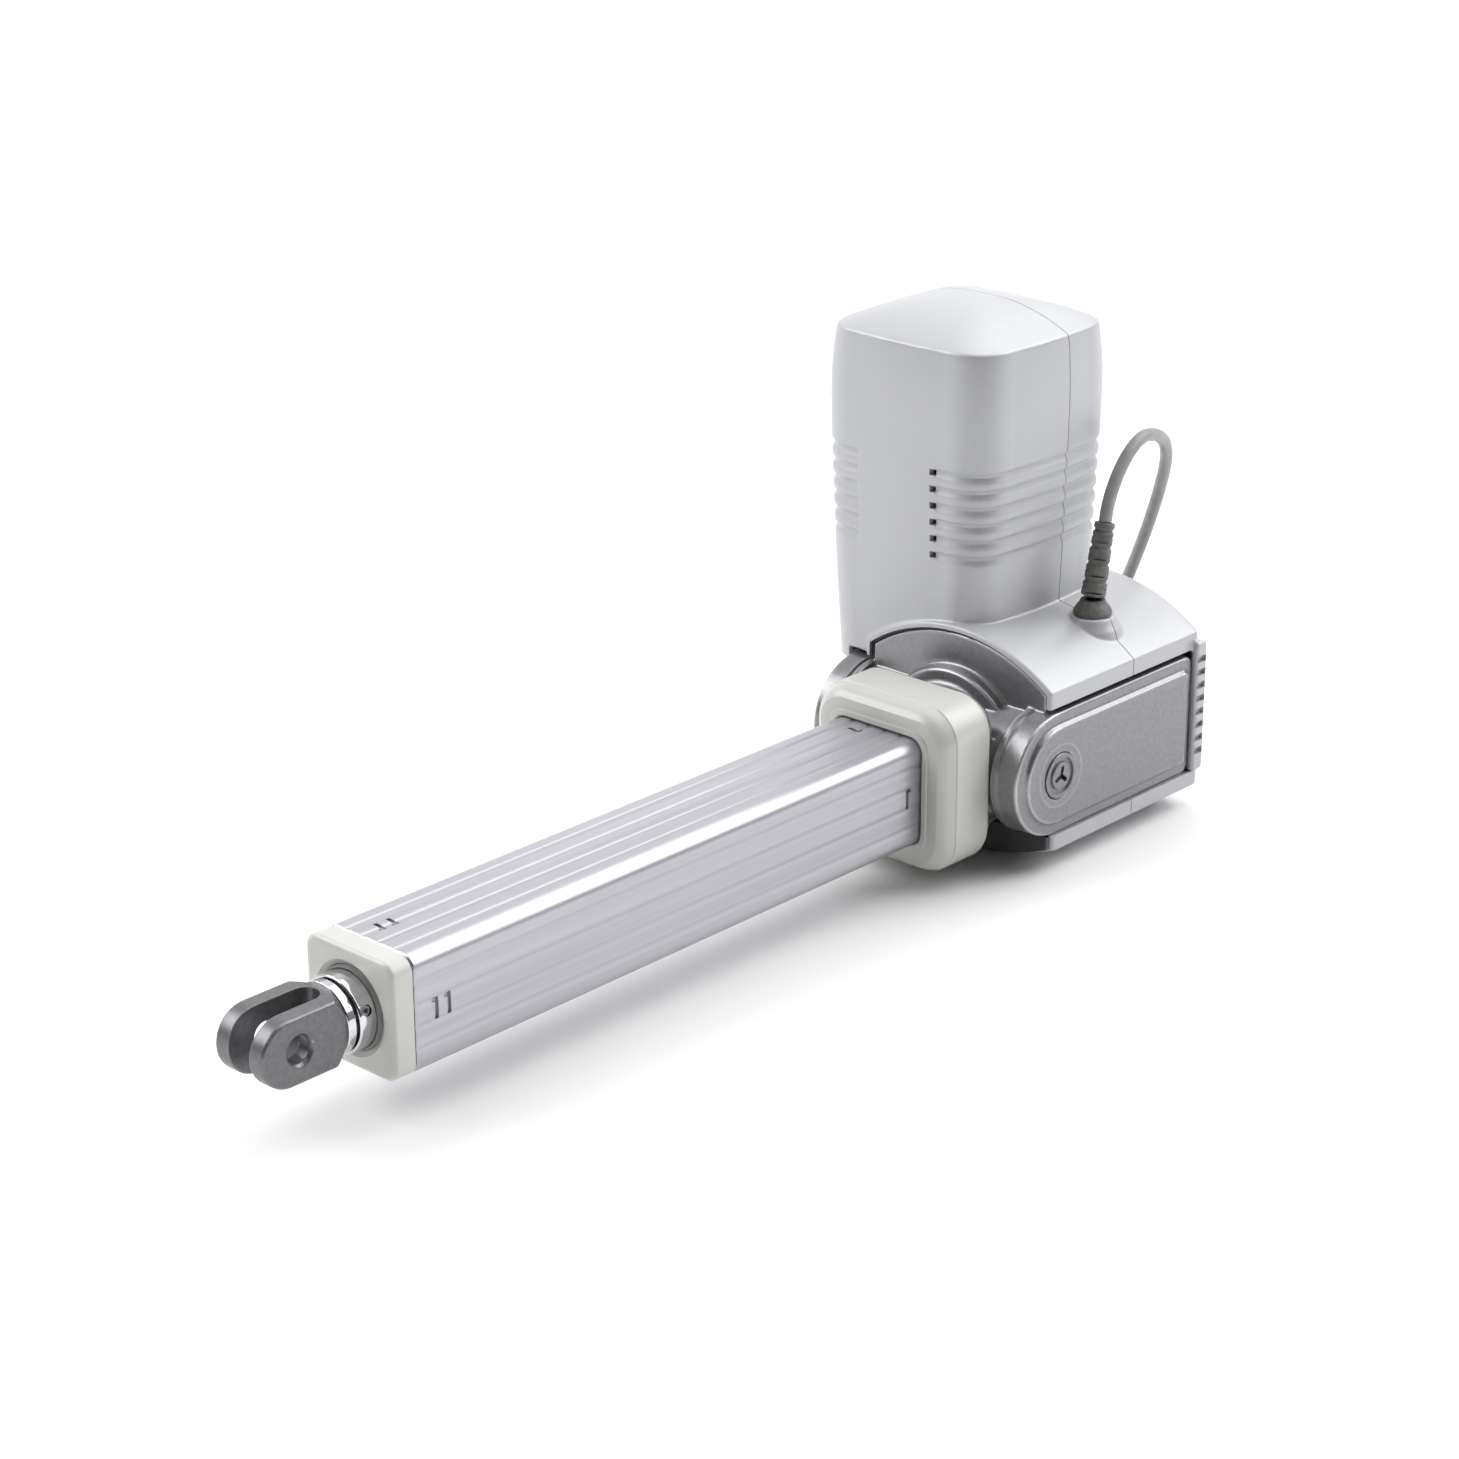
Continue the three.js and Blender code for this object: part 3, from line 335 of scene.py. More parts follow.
def prism(outline, low, high, axis, low_round=0.0, high_round=0.0, steps=5):
    """Shape along an axis; outline(inset) gives its section, which draws in at the two rounded ends."""
    places = []
    for step in range(steps + 1):
        angle = math.pi / 2 * step / steps
        places.append((low_round * (1 - math.sin(angle)), low + low_round * (1 - math.cos(angle))))
    for step in range(steps + 1):
        angle = math.pi / 2 * (1 - step / steps)
        places.append((high_round * (1 - math.sin(angle)), high - high_round * (1 - math.cos(angle))))
    return loft([[AXES[axis](a, b, along) for a, b in outline(inset)] for inset, along in places])


def rounded_square(half, corner, arc=10, straight=4, dent=lambda along, side: 0.0, eased=False):
    """Loop round a square.

    dent(along, side) sinks its sides, and the corner after a side keeps that side's last dent.
    An eased corner curves in gently, tightest at its middle; the others are plain arcs.
    """
    flat = half - corner
    loop = []
    for side in range(4):
        spin = Matrix.Rotation(side * math.pi / 2, 2)
        for k in range(straight):
            along = flat * (2 * k / straight - 1)
            loop.append(spin @ Vector((half - dent(along, side), along)))
        sunk = corner - dent(flat, side)
        for k in range(arc):
            t, angle = k / arc, math.pi / 2 * k / arc
            across, up = (1 - t * t, 2 * t - t * t) if eased else (math.cos(angle), math.sin(angle))
            loop.append(spin @ Vector((flat + sunk * across, flat + sunk * up)))
    return loop


def square_section(half, corner, **detail):
    """Section of a prism: a rounded square that draws in by the inset."""
    return lambda inset: rounded_square(half - inset, max(corner - inset, 0.2), **detail)


def rect_section(a0, a1, b0, b1, corner):
    """Section of a prism: a rounded rectangle that draws in by the inset."""
    def outline(inset):
        r = max(corner - inset, 0.1)
        low_a, high_a, low_b, high_b = a0 + inset, a1 - inset, b0 + inset, b1 - inset
        corners = [(low_a, low_b, r), (high_a, low_b, r), (high_a, high_b, r), (low_a, high_b, r)]
        return soften(corners, closed=True)
    return outline


def block(x0, x1, y0, y1, z0, z1):
    """Box between two corners."""
    return loft([[(x, y0, z0), (x, y1, z0), (x, y1, z1), (x, y0, z1)] for x in (x0, x1)])


def combine(operation, first, others):
    """Joins others to the first shape, or cuts them out of it, and uses them up."""
    for other in others:
        modify(first, "BOOLEAN", object=other, operation=operation, solver="MANIFOLD")
        bpy.data.meshes.remove(other.data)
    return first


def union(first, *others):
    return combine("UNION", first, others)


def cut(first, *others):
    return combine("DIFFERENCE", first, others)


def melt(obj, voxel, passes, keep):
    """Gives a shape the small fillets of a casting or forging."""
    modify(obj, "REMESH", mode="VOXEL", voxel_size=voxel)
    modify(obj, "SMOOTH", factor=0.5, iterations=passes)
    return modify(obj, "DECIMATE", ratio=keep)


def place(name, obj, slot, *replaced, body="root", sharp=32, look=None):
    """Finishes a shape: into the row frame, shading, material, body and the CAD nodes it stands for.

    look names a finish other than the slot's own.
    """
    obj.data.transform(TO_ROW)
    obj.data.shade_smooth()
    obj.data.set_sharp_from_angle(angle=math.radians(sharp))
    modify(obj, "WEIGHTED_NORMAL", keep_sharp=True)
    obj.name = name
    obj.data.name = name
    obj.data.materials.clear()
    obj.data.materials.append(FINISHES[look or slot])
    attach(obj, body)
    if replaced:
        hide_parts(*replaced)
    return obj


# ---------- cord, its plug and its tie ----------
CORD_ROUTE = [
    (-464.7, 32, 104.9), (-466.4, 32, 112.5), (-470.8, 31.6, 121), (-477.2, 31, 129), (-486.5, 30, 136),
    (-497.5, 28.3, 139.2), (-509.5, 25.8, 137.5), (-521.5, 22.3, 132.5), (-533, 17, 124.5),
    (-543.5, 10, 112.5), (-552, 1.5, 97), (-558.5, -7.5, 79), (-563.2, -17, 59), (-566, -27, 37),
    (-566.6, -37, 14), (-565.2, -48, -8), (-562, -60, -27), (-558.5, -76, -39), (-556.9, -86, -44.5),
]
COIL_MIDDLE = (COIL[0] + COIL[1]) / 2
LAYERS = [SUMP_FLOOR + 4.55 + 6.7 * k for k in range(3)]
RADII = [43.2, 36.5, 29.8]


def value_at(marks, angle):
    """Value at an angle between (angle, value) marks, with smooth steps from one to the next."""
    for (a0, v0), (a1, v1) in zip(marks, marks[1:]):
        if angle <= a1:
            t = max(0.0, (angle - a0) / (a1 - a0))
            return v0 + (v1 - v0) * t * t * (3 - 2 * t)
    return marks[-1][1]


def coil_points():
    """Three layers of three turns, wound clockwise from outside to inside, back out, and in again."""
    outer, middle, inner = RADII
    out = [(0, outer), (240, outer), (360, middle), (600, middle), (720, inner), (1080, inner),
           (1200, middle), (1440, middle), (1560, outer), (1920, outer), (2040, middle), (2280, middle),
           (2400, inner), (2520, inner), (2700, 33.0)]
    low, mid, high = LAYERS
    up = [(0, low), (840, low), (960, mid), (1680, mid), (1800, high), (2520, high), (2700, high + 10.35)]
    points = []
    for angle in range(0, 2701, 20):
        r, z = value_at(out, angle), value_at(up, angle)
        turn = math.radians(-angle)
        points.append((COIL_MIDDLE.x + r * math.cos(turn), COIL_MIDDLE.y + r * math.sin(turn), z))
    return points


def make_cord():
    """Lead as one curve, from the relief sleeve to the coil's last turn."""
    points = [TO_ROW @ Vector(point) for point in CORD_ROUTE + coil_points()]
    data = bpy.data.curves.new("mains_lead", "CURVE")
    data.dimensions = "3D"
    data.resolution_u = 6
    data.bevel_depth = CORD_R * 0.001
    data.bevel_resolution = 4
    data.use_fill_caps = True
    spline = data.splines.new("BEZIER")
    spline.bezier_points.add(len(points) - 1)
    for knot, point in zip(spline.bezier_points, points):
        knot.co = point
        knot.handle_left_type = knot.handle_right_type = "AUTO"
    cord = bpy.data.objects.new("mains_lead", data)
    bpy.context.scene.collection.objects.link(cord)
    data.materials.append(FINISHES["cord_sheath"])
    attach(cord, "root")
    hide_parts("cord_run", "cord_coil")
    return cord


def make_plug():
    """Moulded connector body on the last turn, with a ribbed sleeve and a locking nut."""
    low, high = span("cord_plug")
    middle = (low + high) / 2
    start, end = low.y, high.y
    sleeve = [(0, start, 0), (3.7, start, 0.4)]
    for k in range(3):
        y = start + 1.5 + 4 * k
        sleeve += [(4.2 + 0.4 * k, y, 0.4), (4.3 + 0.4 * k, y + 2.4, 0.4), (3.5 + 0.4 * k, y + 2.6, 0.3),
                   (3.6 + 0.4 * k, y + 3.8, 0.3)]
    body = [(6.6, start + 16, 0.8), (6.6, end - 12, 0.8), (5.8, end - 10, 0.5), (5.8, end, 0.6),
            (4.6, end, 0.2), (4.6, end - 5, 0.2), (0, end - 5, 0)]
    shell = turned(sleeve + body, "y", (middle.x, 0, middle.z), segments=48)
    ribs = []
    for k in range(16):
        angle = 2 * math.pi * k / 16
        x, z = middle.x + 6.9 * math.cos(angle), middle.z + 6.9 * math.sin(angle)
        ribs.append(cylinder(0.7, start + 22, end - 16, "y", (x, 0, z), 12))
    pins = []
    for k in range(3):
        angle = 2 * math.pi * k / 3
        x, z = middle.x + 2.3 * math.cos(angle), middle.z + 2.3 * math.sin(angle)
        pin = [(0, end - 6, 0), (0.6, end - 6, 0), (0.6, end - 1, 0.3), (0, end - 1, 0)]
        pins.append(turned(pin, "y", (x, 0, z), segments=16))
    plug = place("lead_plug", cut(shell, *ribs), "black_plastic", "cord_plug")
    contacts = place("lead_plug_pins", union(*pins), "machined_steel")
    return [plug, contacts]


def make_tie():
    """Cable tie round the coil: a thin strap with its locking head on top."""
    height = COIL[1].z - COIL[0].z
    inner, outer = RADII[2] - CORD_R - 0.4, RADII[0] + CORD_R + 0.4
    low, high = LAYERS[0] - CORD_R - 0.15, LAYERS[0] - CORD_R + height + 0.5
    rings = []
    for grow in (0.0, 1.1):
        for side in (-1.8, 1.8):
            outline = rect_section(inner - grow, outer + grow, low - grow * 0.7, high + grow, 3.0)(0)
            rings.append([(a, side, b) for a, b in outline])
    strap = loft([rings[0], rings[1], rings[3], rings[2]], hollow=True)
    head = prism(rect_section(outer - 8, outer - 2, -2.6, 2.6, 0.6), high + 0.6, high + 3.2, "z", 0.2, 0.6)
    tail = prism(rect_section(outer - 19, outer - 8, -1.6, 1.6, 0.4), high + 1.3, high + 2.3, "z", 0.2, 0.2)
    tie = union(strap, head, tail)
    turn = Matrix.Rotation(math.radians(215), 4, "Z")
    tie.data.transform(Matrix.Translation((COIL_MIDDLE.x, COIL_MIDDLE.y, 0)) @ turn)
    return place("lead_tie", tie, "black_plastic", "cable_tie")


cord = make_cord()
cord_ends = make_plug()
cord_tie = make_tie()


# ---------- square tube, end cap and push rod ----------
def tube_dent(along, side):
    """Four shallow grooves on each face of the tube."""
    nearest = min((abs(along - middle) for middle in (-15, -5, 5, 15)))
    depth = 0.24 if side % 2 == 0 else 0.42
    return depth / 2 * (1 + math.cos(2 * math.pi * nearest / 4.4)) if nearest < 2.2 else 0.0


def stake_mark(x, top, hook):
    """Punched slot with a small hook, on the tube's top face or on its near face."""
    deep, proud = TUBE[1].z - 1.6, TUBE[1].z + 1
    low, high = (-9.8, -2.6) if top else (-4.5, 5.5)
    faces = [(x - 1.0, x + 1.0, low, high), (x - 1.0, x + 2.6 * hook, high - 1.9, high)]
    faces = [(min(x0, x1), max(x0, x1), a0, a1) for x0, x1, a0, a1 in faces]
    blocks = [block(x0, x1, a0, a1, deep, proud) if top else block(x0, x1, deep, proud, a0, a1)
              for x0, x1, a0, a1 in faces]
    return union(*blocks)


def make_profile():
    """Square tube with its grooved faces and the marks punched in it."""
    front, rear = TUBE[1].x - 0.1, TUBE[0].x
    half = TUBE[1].z
    outside = square_section(half, TUBE_CORNER, arc=10, straight=100, dent=tube_dent)
    inside = square_section(23.5, 4, arc=10, straight=100)
    rings = [(outside(0.6), front), (outside(0), front - 0.6), (outside(0), rear + 0.6),
             (outside(0.6), rear), (inside(0), rear), (inside(0), front)]
    tube = loft([[(x, a, b) for a, b in outline] for outline, x in rings], hollow=True)
    marks = [stake_mark(x, top, 1) for x in (-24, -31) for top in (True, False)]
    marks += [stake_mark(-324, top, -1) for top in (True, False)]
    place("profile_extrusion", cut(tube, *marks), "extrusion", "outer_profile", sharp=28)


def make_end_cap():
    """Cap with a rounded front edge, a plug inside the tube and a stepped opening for the rod."""
    low, high = span("front_end_cap")
    half, face = high.z, high.x
    count = {"arc": 24, "straight": 8}
    square = square_section(half, TUBE_CORNER, **count)
    plug = square_section(23.2, 3.7, **count)
    rings = [(plug(0), low.x), (plug(0), face - 12.2), (square(0.7), face - 12.0), (square(0), face - 11.4)]
    for step in range(6):
        angle = math.pi / 2 * step / 5
        rings.append((square(3.2 * (1 - math.cos(angle))), face - 2.4 * (1 - math.sin(angle))))
    opening = ((21.4, face), (20.2, face - 0.9), (19.1, face - 1.6), (19.0, face - 5), (18.3, face - 5),
               (18.3, face - 6.8), (20.5, face - 6.9), (20.5, low.x))
    rings += [(rounded_square(r, r, **count), x) for r, x in opening]
    cap = loft([[(x, a, b) for a, b in outline] for outline, x in rings], hollow=True)
    channel = block(low.x - 1, face - 16, -3.6, 3.6, 15, half)
    place("end_cap_moulding", cut(cap, channel), "cap_plastic", "front_end_cap", sharp=24)


def make_wiper():
    """Rubber lip between the end cap and the rod."""
    ring = [(17.7, -4.8, 0), (18.9, -4.8, 0.2), (18.9, -1.6, 0.3), (18.4, -0.6, 0.3), (18.1, 0.4, 0.2),
            (17.7, 0.2, 0.1)]
    place("rod_wiper_ring", turned(ring, hollow=True, segments=96), "seal_rubber", "wiper_seal",
                 look="lip_rubber")


def at_grub_screw():
    """Move that takes a shape made upright at the origin to the grub screw's place."""
    return Matrix.Translation((SCREW_X, 0, 0)) @ Matrix.Rotation(SCREW_TILT, 4, "X")


def screw_hole(r, low, high):
    """Radial hole in the side of the push tube, turned towards the plain side."""
    hole = cylinder(r, low, high, "z", segments=32)
    hole.data.transform(at_grub_screw())
    return hole


def make_rod():
    """Chromed push tube, the ring at its end and the grub screw that holds the fork."""
    low, high = span("push_tube")
    wall = [(ROD_BORE, low.x, 0), (ROD_R, low.x, 0.4), (ROD_R, high.x, 1.0), (ROD_BORE, high.x, 0)]
    tube = cut(turned(wall, hollow=True, segments=120), screw_hole(2.5, 10, 22))
    place("chromed_rod", tube, "chrome_tube", "push_tube", body="push_rod")
    low, high = span("rod_end_ring")
    ring = [(14.0, low.x, 0), (16.7, low.x, 0.5), (16.7, high.x, 0.7), (14.0, high.x, 0)]
    ring = turned(ring, hollow=True, segments=96)
    place("rod_front_ring", ring, "chrome_tube", "rod_end_ring", body="push_rod")
    screw = turned([(0, 12.6, 0), (2.25, 12.6, 0.2), (2.25, 16.7, 0.5), (0, 16.7, 0)], "z", segments=32)
    screw = cut(screw, cylinder(1.3, 15, 18, "z", segments=6))
    screw.data.transform(at_grub_screw())
    place("fork_grub_screw", screw, "machined_steel", "set_screw", body="push_rod")


def fork_cheek(nose, root, half):
    """Side outline of a fork, with a round nose and square where it meets the root."""
    way = 1 if nose > root else -1

    def outline(inset):
        r = half - inset
        angles = [math.pi / 2 * (1 - k / 16) for k in range(33)]
        front = [(nose + way * r * math.cos(angle), r * math.sin(angle)) for angle in angles]
        return [(root, r), *front, (root, -r)]
    return outline


def forge_fork(nose, eye, root, slot_bottom, shoulder):
    """Fork with a round-bottomed slot and a chamfered pin hole; it is kept within its turned shoulder."""
    half, slot, hole = FORK_HALF, FORK_SLOT, FORK_HOLE
    way = 1 if nose > root else -1
    tip = nose + way * (half + 4)
    head = prism(fork_cheek(nose, root, half), -half, half, "y", 1.6, 1.6)
    envelope = turned(shoulder)
    fork = modify(head, "BOOLEAN", object=envelope, operation="INTERSECT", solver="MANIFOLD")
    bpy.data.meshes.remove(envelope.data)
    middle = slot_bottom + way * slot
    angles = [math.pi / 2 + math.pi * k / 24 for k in range(25)]
    bottom = [(middle + way * slot * math.cos(angle), slot * math.sin(angle)) for angle in angles]
    mouth = [*bottom, (tip, -slot), (tip, slot)]
    gap = loft([[(a, b, z) for a, b in mouth] for z in (-half - 5, half + 5)])
    pin = [(0, -half - 2, 0), (hole + 2.6, -half - 2, 0), (hole + 2.6, -half, 0),
           (hole + 1.3, -half + 0.3, 0), (hole, -half + 1.7, 0), (hole, half - 1.7, 0),
           (hole + 1.3, half - 0.3, 0), (hole + 2.6, half, 0), (hole + 2.6, half + 2, 0), (0, half + 2, 0)]
    return cut(fork, gap, turned(pin, "y", (eye, 0, 0), segments=64))


def make_front_fork():
    """Fork at the rod's end, with its shank inside the rod."""
    low, high = span("front_clevis")
    eye = high.x - 20
    shoulder = [(0, 14, 0), (15.6, 14, 0), (16.4, 15, 0.6), (21.2, 20.5, 1.5), (21.2, 70, 0), (0, 70, 0)]
    fork = forge_fork(eye + 5, eye, 13, eye - 22, shoulder)
    shank = turned([(0, low.x, 0), (13.8, low.x, 0.8), (13.8, 16, 0), (0, 16, 0)])
    fork = cut(melt(union(fork, shank), voxel=0.4, passes=2, keep=0.45), screw_hole(2.6, 9, 15))
    place("rod_fork", fork, "dark_casting", "front_clevis", body="push_rod")


def make_rear_fork():
    """Fixed fork behind the gearbox, with its shank and nut inside."""
    low, high = span("rear_fork")
    eye, flange = low.x + FORK_HALF, FLANGE_X
    shoulder = [(0, flange, 0), (17.4, flange, 0.4), (17.4, -511.4, 0.6), (15.6, -512.5, 0.8),
                (21, -522, 2), (21, -560, 0), (0, -560, 0)]
    fork = forge_fork(eye, eye, flange, eye + 20.5, shoulder)
    shank = turned([(0, high.x, 0), (7.9, high.x, 0.8), (7.9, flange - 1, 0), (0, flange - 1, 0)])
    fork = melt(union(fork, shank), voxel=0.4, passes=2, keep=0.45)
    place("rear_mounting_fork", fork, "dark_casting", "rear_fork")
    low, high = span("rear_fork_nut")
    nut = [(8.2, low.x, 0), (13, low.x, 0.4), (13, high.x, 0.4), (8.2, high.x, 0)]
    nut = turned(nut, hollow=True, segments=6)
    place("rear_fork_hex_nut", nut, "machined_steel", "rear_fork_nut")


make_profile()
make_end_cap()
make_wiper()
make_rod()
make_front_fork()
make_rear_fork()


# ---------- collar ----------
def make_collar():
    """Collar behind the tube; its front edge rolls in round the tube."""
    rear, face, half = COLLAR[0].x, COLLAR[1].x, COLLAR[1].z

    def section(inset):
        corner = COLLAR_CORNER - inset * (COLLAR_CORNER - 7.3) / (half - 27.3)
        return rounded_square(half - inset, corner, arc=14, straight=8)

    def opening(r):
        return rounded_square(r, r, arc=14, straight=8)
    outside = [(2.6, rear), (0.8, rear + 0.8), (0, rear + 2.6), (0, face - 9.6), (0.5, face - 9.2),
               (1.7, face - 5.4), (3.4, face - 2.7), (5.6, face - 1.1), (8.4, face - 0.6),
               (11.0, face - 0.8), (11.4, face - 0.1), (11.9, face), (13.9, face), (14.6, face - 0.7),
               (14.7, face - 27.2)]
    rings = [[(x, a, b) for a, b in section(inset)] for inset, x in outside]
    rings += [[(x, a, b) for a, b in opening(22)] for x in (face - 27.3, rear)]
    place("collar_moulding", loft(rings, hollow=True), "cap_plastic", "rear_collar", sharp=24)


make_collar()


# ---------- gearbox ----------
def cover_section(inset, bottom):
    """Upper half of the gearbox's outline: an arc on two short upright sides."""
    half, r, centre = COVER_HALF - inset, COVER_ARC - inset, COVER_CREST - COVER_ARC
    reach = math.asin(half / r)
    angles = [reach * (k / 20 - 1) for k in range(41)]
    arch = [(r * math.sin(angle), centre + r * math.cos(angle)) for angle in angles]
    return [(-half, bottom), *arch, (half, bottom)]


def sump_section(inset, top):
    """Lower half of the outline: a flat land between two arcs that rise to the sides."""
    half, r, land = SUMP_HALF - inset, SUMP_ARC - inset, math.asin(SUMP_LAND / SUMP_ARC)
    centre = SUMP_FLOOR + math.sqrt(SUMP_ARC ** 2 - SUMP_LAND ** 2)
    reach = math.asin(half / r)
    angles = [land + (reach - land) * k / 12 for k in range(13)]
    near = [(r * math.sin(angle), centre - r * math.cos(angle)) for angle in angles]
    far = [(-y, z) for y, z in reversed(near)]
    return [*far, *near, (half, top), (-half, top)]


def arm_section(r, rear, corner):
    """Side outline of an arm: round about the drum's axis, with two small corners at the rear."""
    def outline(inset):
        reach = r - inset
        angles = [math.pi / 2 * (1 - k / 24) for k in range(49)]
        nose = [(ARM_X + reach * math.cos(angle), reach * math.sin(angle)) for angle in angles]
        tail = soften([(ARM_X, -reach, 0), (rear + inset, -reach, corner), (rear + inset, reach, corner),
                       (ARM_X, reach, 0)])
        return nose + tail[1:-1]
    return outline


def side_arm(face, way):
    """Arm on one side: a full plate under a raised one with a steep chamfer."""
    shelf = face - 2.4 * way

    def layer(section, inner, outer, edge, steps):
        if way > 0:
            return prism(section, inner, outer, "y", 0, edge, steps)
        return prism(section, outer, inner, "y", edge, 0, steps)
    rim = arm_section(ARM_R - 5.6, ARM_REAR + 4.5, 2.5)
    base = layer(arm_section(ARM_R, ARM_REAR, 5), face - 13 * way, shelf, 0.9, 5)
    raised = layer(lambda inset: rim(0.62 * inset), shelf - way, face, 2.4, 1)
    ring = [(14.6, shelf, 0), (17, shelf, 0), (16.2, face + 0.5 * way, 0.5), (15.4, face + 0.5 * way, 0.5)]
    return union(base, raised, turned(ring, "y", (ARM_X, 0, 0), hollow=True))


def gear_body():
    """Gearbox casting with its neck, cross drum, two side arms and bearing seats."""
    near, far = PLUG_NEAR[1].y - 0.9, PLUG_FAR[0].y + 0.9
    wall_front = COVER_FRONT - 1.5
    upper = prism(lambda inset: cover_section(4.2 + inset, -5), -399, wall_front, "x", 0, 0.8)
    lower = prism(lambda inset: sump_section(5 + inset, 5), -399, wall_front, "x", 0, 0.8)
    core = block(PLATE_X, -398, far + 12, near - 11, -31, 33)
    barrel = cylinder(40, PLATE_X, -398)
    tower = turned([(0, -35.5, 0), (17, -35.5, 0), (17, 50, 0), (33, 50, 0), (33, 58, 0), (0, 58, 0)], "z",
                   (MOTOR.x, MOTOR.y, 0))
    neck = turned([(0, -399, 0), (44, -399, 0), (44, -394, 0.3), (41.5, -392.5, 1.2), (41, -387, 2.0),
                   (33.5, -386, 3.5), (32.5, -373, 0), (0, -373, 0)], segments=120)
    flange = prism(square_section(37.5, 15), -374, COLLAR[0].x - 0.3, "x", 0.8, 0.2)
    drum = turned([(0, far + 11, 0), (29, far + 11, 0), (29, far + 15, 0.6), (31.5, far + 15, 0.5),
                   (31.5, far + 19, 0.5), (29, far + 19, 0.6), (29, near - 18, 0.6), (31.5, near - 18, 0.5),
                   (31.5, near - 14, 0.5), (29, near - 14, 0.6), (29, near - 10, 0), (0, near - 10, 0)], "y",
                  (ARM_X, 0, 0), segments=120)
    arms = side_arm(near, 1), side_arm(far, -1)
    body = union(upper, lower, core, barrel, tower, neck, flange, drum, *arms)
    melt(body, voxel=0.75, passes=2, keep=0.4)
    spindle_bores = ((12.2, -420, -360), (17.6, -434.5, -417.7), (35.8, -501, -434.3))
    motor_bores = ((13.2, -22, 60), (11.4, -33.3, -21))
    cap_bores = ((12, near - 6, near + 3), (12, far - 3, far + 6))
    bores = [cylinder(r, low, high, segments=48) for r, low, high in spindle_bores]
    bores += [cylinder(r, low, high, "z", (MOTOR.x, MOTOR.y, 0), 48) for r, low, high in motor_bores]
    bores += [cylinder(r, low, high, "y", (ARM_X, 0, 0)) for r, low, high in cap_bores]
    place("gearbox_casting", cut(body, *bores), "gear_casting", "gear_housing", sharp=40)


def boss_cap(name, node, way):
    """Blanking cap with an annular groove and a three-lobed recess."""
    low, high = span(node)
    face, seat = (high.y, low.y) if way > 0 else (low.y, high.y)
    floor = face - 1.3 * way
    cap = turned([(0, seat, 0), (11.5, seat, 0), (11.5, face, 0.7), (9.3, face, 0.3), (9.0, floor, 0.3),
                  (7.0, floor, 0.3), (6.7, face, 0.3), (0, face, 0)], "y", (ARM_X, 0, 0), segments=96)
    lobes = []
    for k in range(3):
        angle = math.radians(100 + 120 * k)
        outline = rect_section(-0.6, 5.0, -1.15, 1.15, 1.0)(0)
        cosine, sine = math.cos(angle), math.sin(angle)
        spun = [(ARM_X + a * cosine - b * sine, a * sine + b * cosine) for a, b in outline]
        lobes.append(loft([[(a, y, b) for a, b in spun] for y in (face - 3 * way, face + way)]))
    place(name, cut(cap, *lobes), "gear_casting", node, sharp=30, look="cap_casting")


def rear_bearing_plate():
    """Plate that closes the housing's rear, with a bearing seat and a slotted face."""
    low, high = span("housing_rear_plate")
    plate = prism(rect_section(low.y, high.y, low.z, high.z, 4), low.x, -500.3, "x", 0.8, 0.3)
    boss = turned([(0, -501, 0), (23, -501, 0), (23, high.x, 0.8), (0, high.x, 0)])
    seat, hole = cylinder(17.5, PLATE_X, -455), cylinder(8.6, -520, -490)
    slots = [block(-509, -507, -50, 45, z - 1.2, z + 1.2) for z in (-22, -11, 11, 22)]
    plate = cut(union(plate, boss), seat, hole, *slots)
    place("rear_bearing_plate", plate, "gear_casting", "housing_rear_plate")


def pan_screw(name, node, axis, way):
    """Pan head screw with a cross recess; way is the direction its head faces."""
    low, high = span(node)
    middle = (low + high) / 2
    along = {"x": 0, "z": 2}[axis]
    crown, tip = (high[along], low[along]) if way > 0 else (low[along], high[along])
    centre = list(middle)
    centre[along] = 0
    head = crown - 2.6 * way
    outline = [(0, tip, 0), (2.3, tip + 0.8 * way, 0.2), (2.3, head, 0), (4.3, head, 0.3),
               (4.3, head + 1.2 * way, 0.8), (2.8, crown, 1.5), (0, crown, 0)]
    shape = turned(outline, axis, centre, segments=40)
    arms = []
    for wide, thin in ((2.0, 0.45), (0.45, 2.0)):
        outline = [(-wide, -thin), (wide, -thin), (wide, thin), (-wide, thin)]
        ends = sorted((crown - 1.4 * way, crown + way))
        rings = [[Vector(AXES[axis](a, b, end)) + Vector(centre) for a, b in outline] for end in ends]
        arms.append(loft(rings))
    place(name, cut(shape, union(*arms)), "machined_steel", node)


gear_body()
boss_cap("boss_cap_near", "boss_plug_near", 1)
boss_cap("boss_cap_far", "boss_plug_far", -1)
rear_bearing_plate()
for number in range(1, 5):
    pan_screw(f"collar_fixing_{number}", f"collar_screw_{number}", "x", -1)
for number in range(1, 4):
    pan_screw(f"plate_fixing_{number}", f"plate_screw_{number}", "x", -1)
for number in range(1, 3):
    pan_screw(f"sump_fixing_{number}", f"bottom_screw_{number}", "z", -1)


# ---------- hood and covers ----------
def hood_half(z):
    """Half width of the hood, widest a little below its rim."""
    if z > HOOD_WIDEST:
        return HOOD_HALF - 2 * ((z - HOOD_WIDEST) / (HOOD_RIM - HOOD_WIDEST)) ** 2
    return HOOD_HALF - 4 * ((HOOD_WIDEST - z) / 130) ** 1.5


def hood_ring(z, half, corner, groove=0.0, bow=HOOD_BOW):
    """Loop of the hood at one height; the middle of its front and rear has no grooves."""
    flat = half - corner

    def dent(along, side):
        plain = side % 2 == 0 and abs(along) < 24
        return (0.0 if plain else groove) - bow * (1 - (along / flat) ** 2)
    loop = rounded_square(half, corner, arc=16, straight=64, dent=dent, eased=True)
    return [(MOTOR.x + a, MOTOR.y + b, z) for a, b in loop]


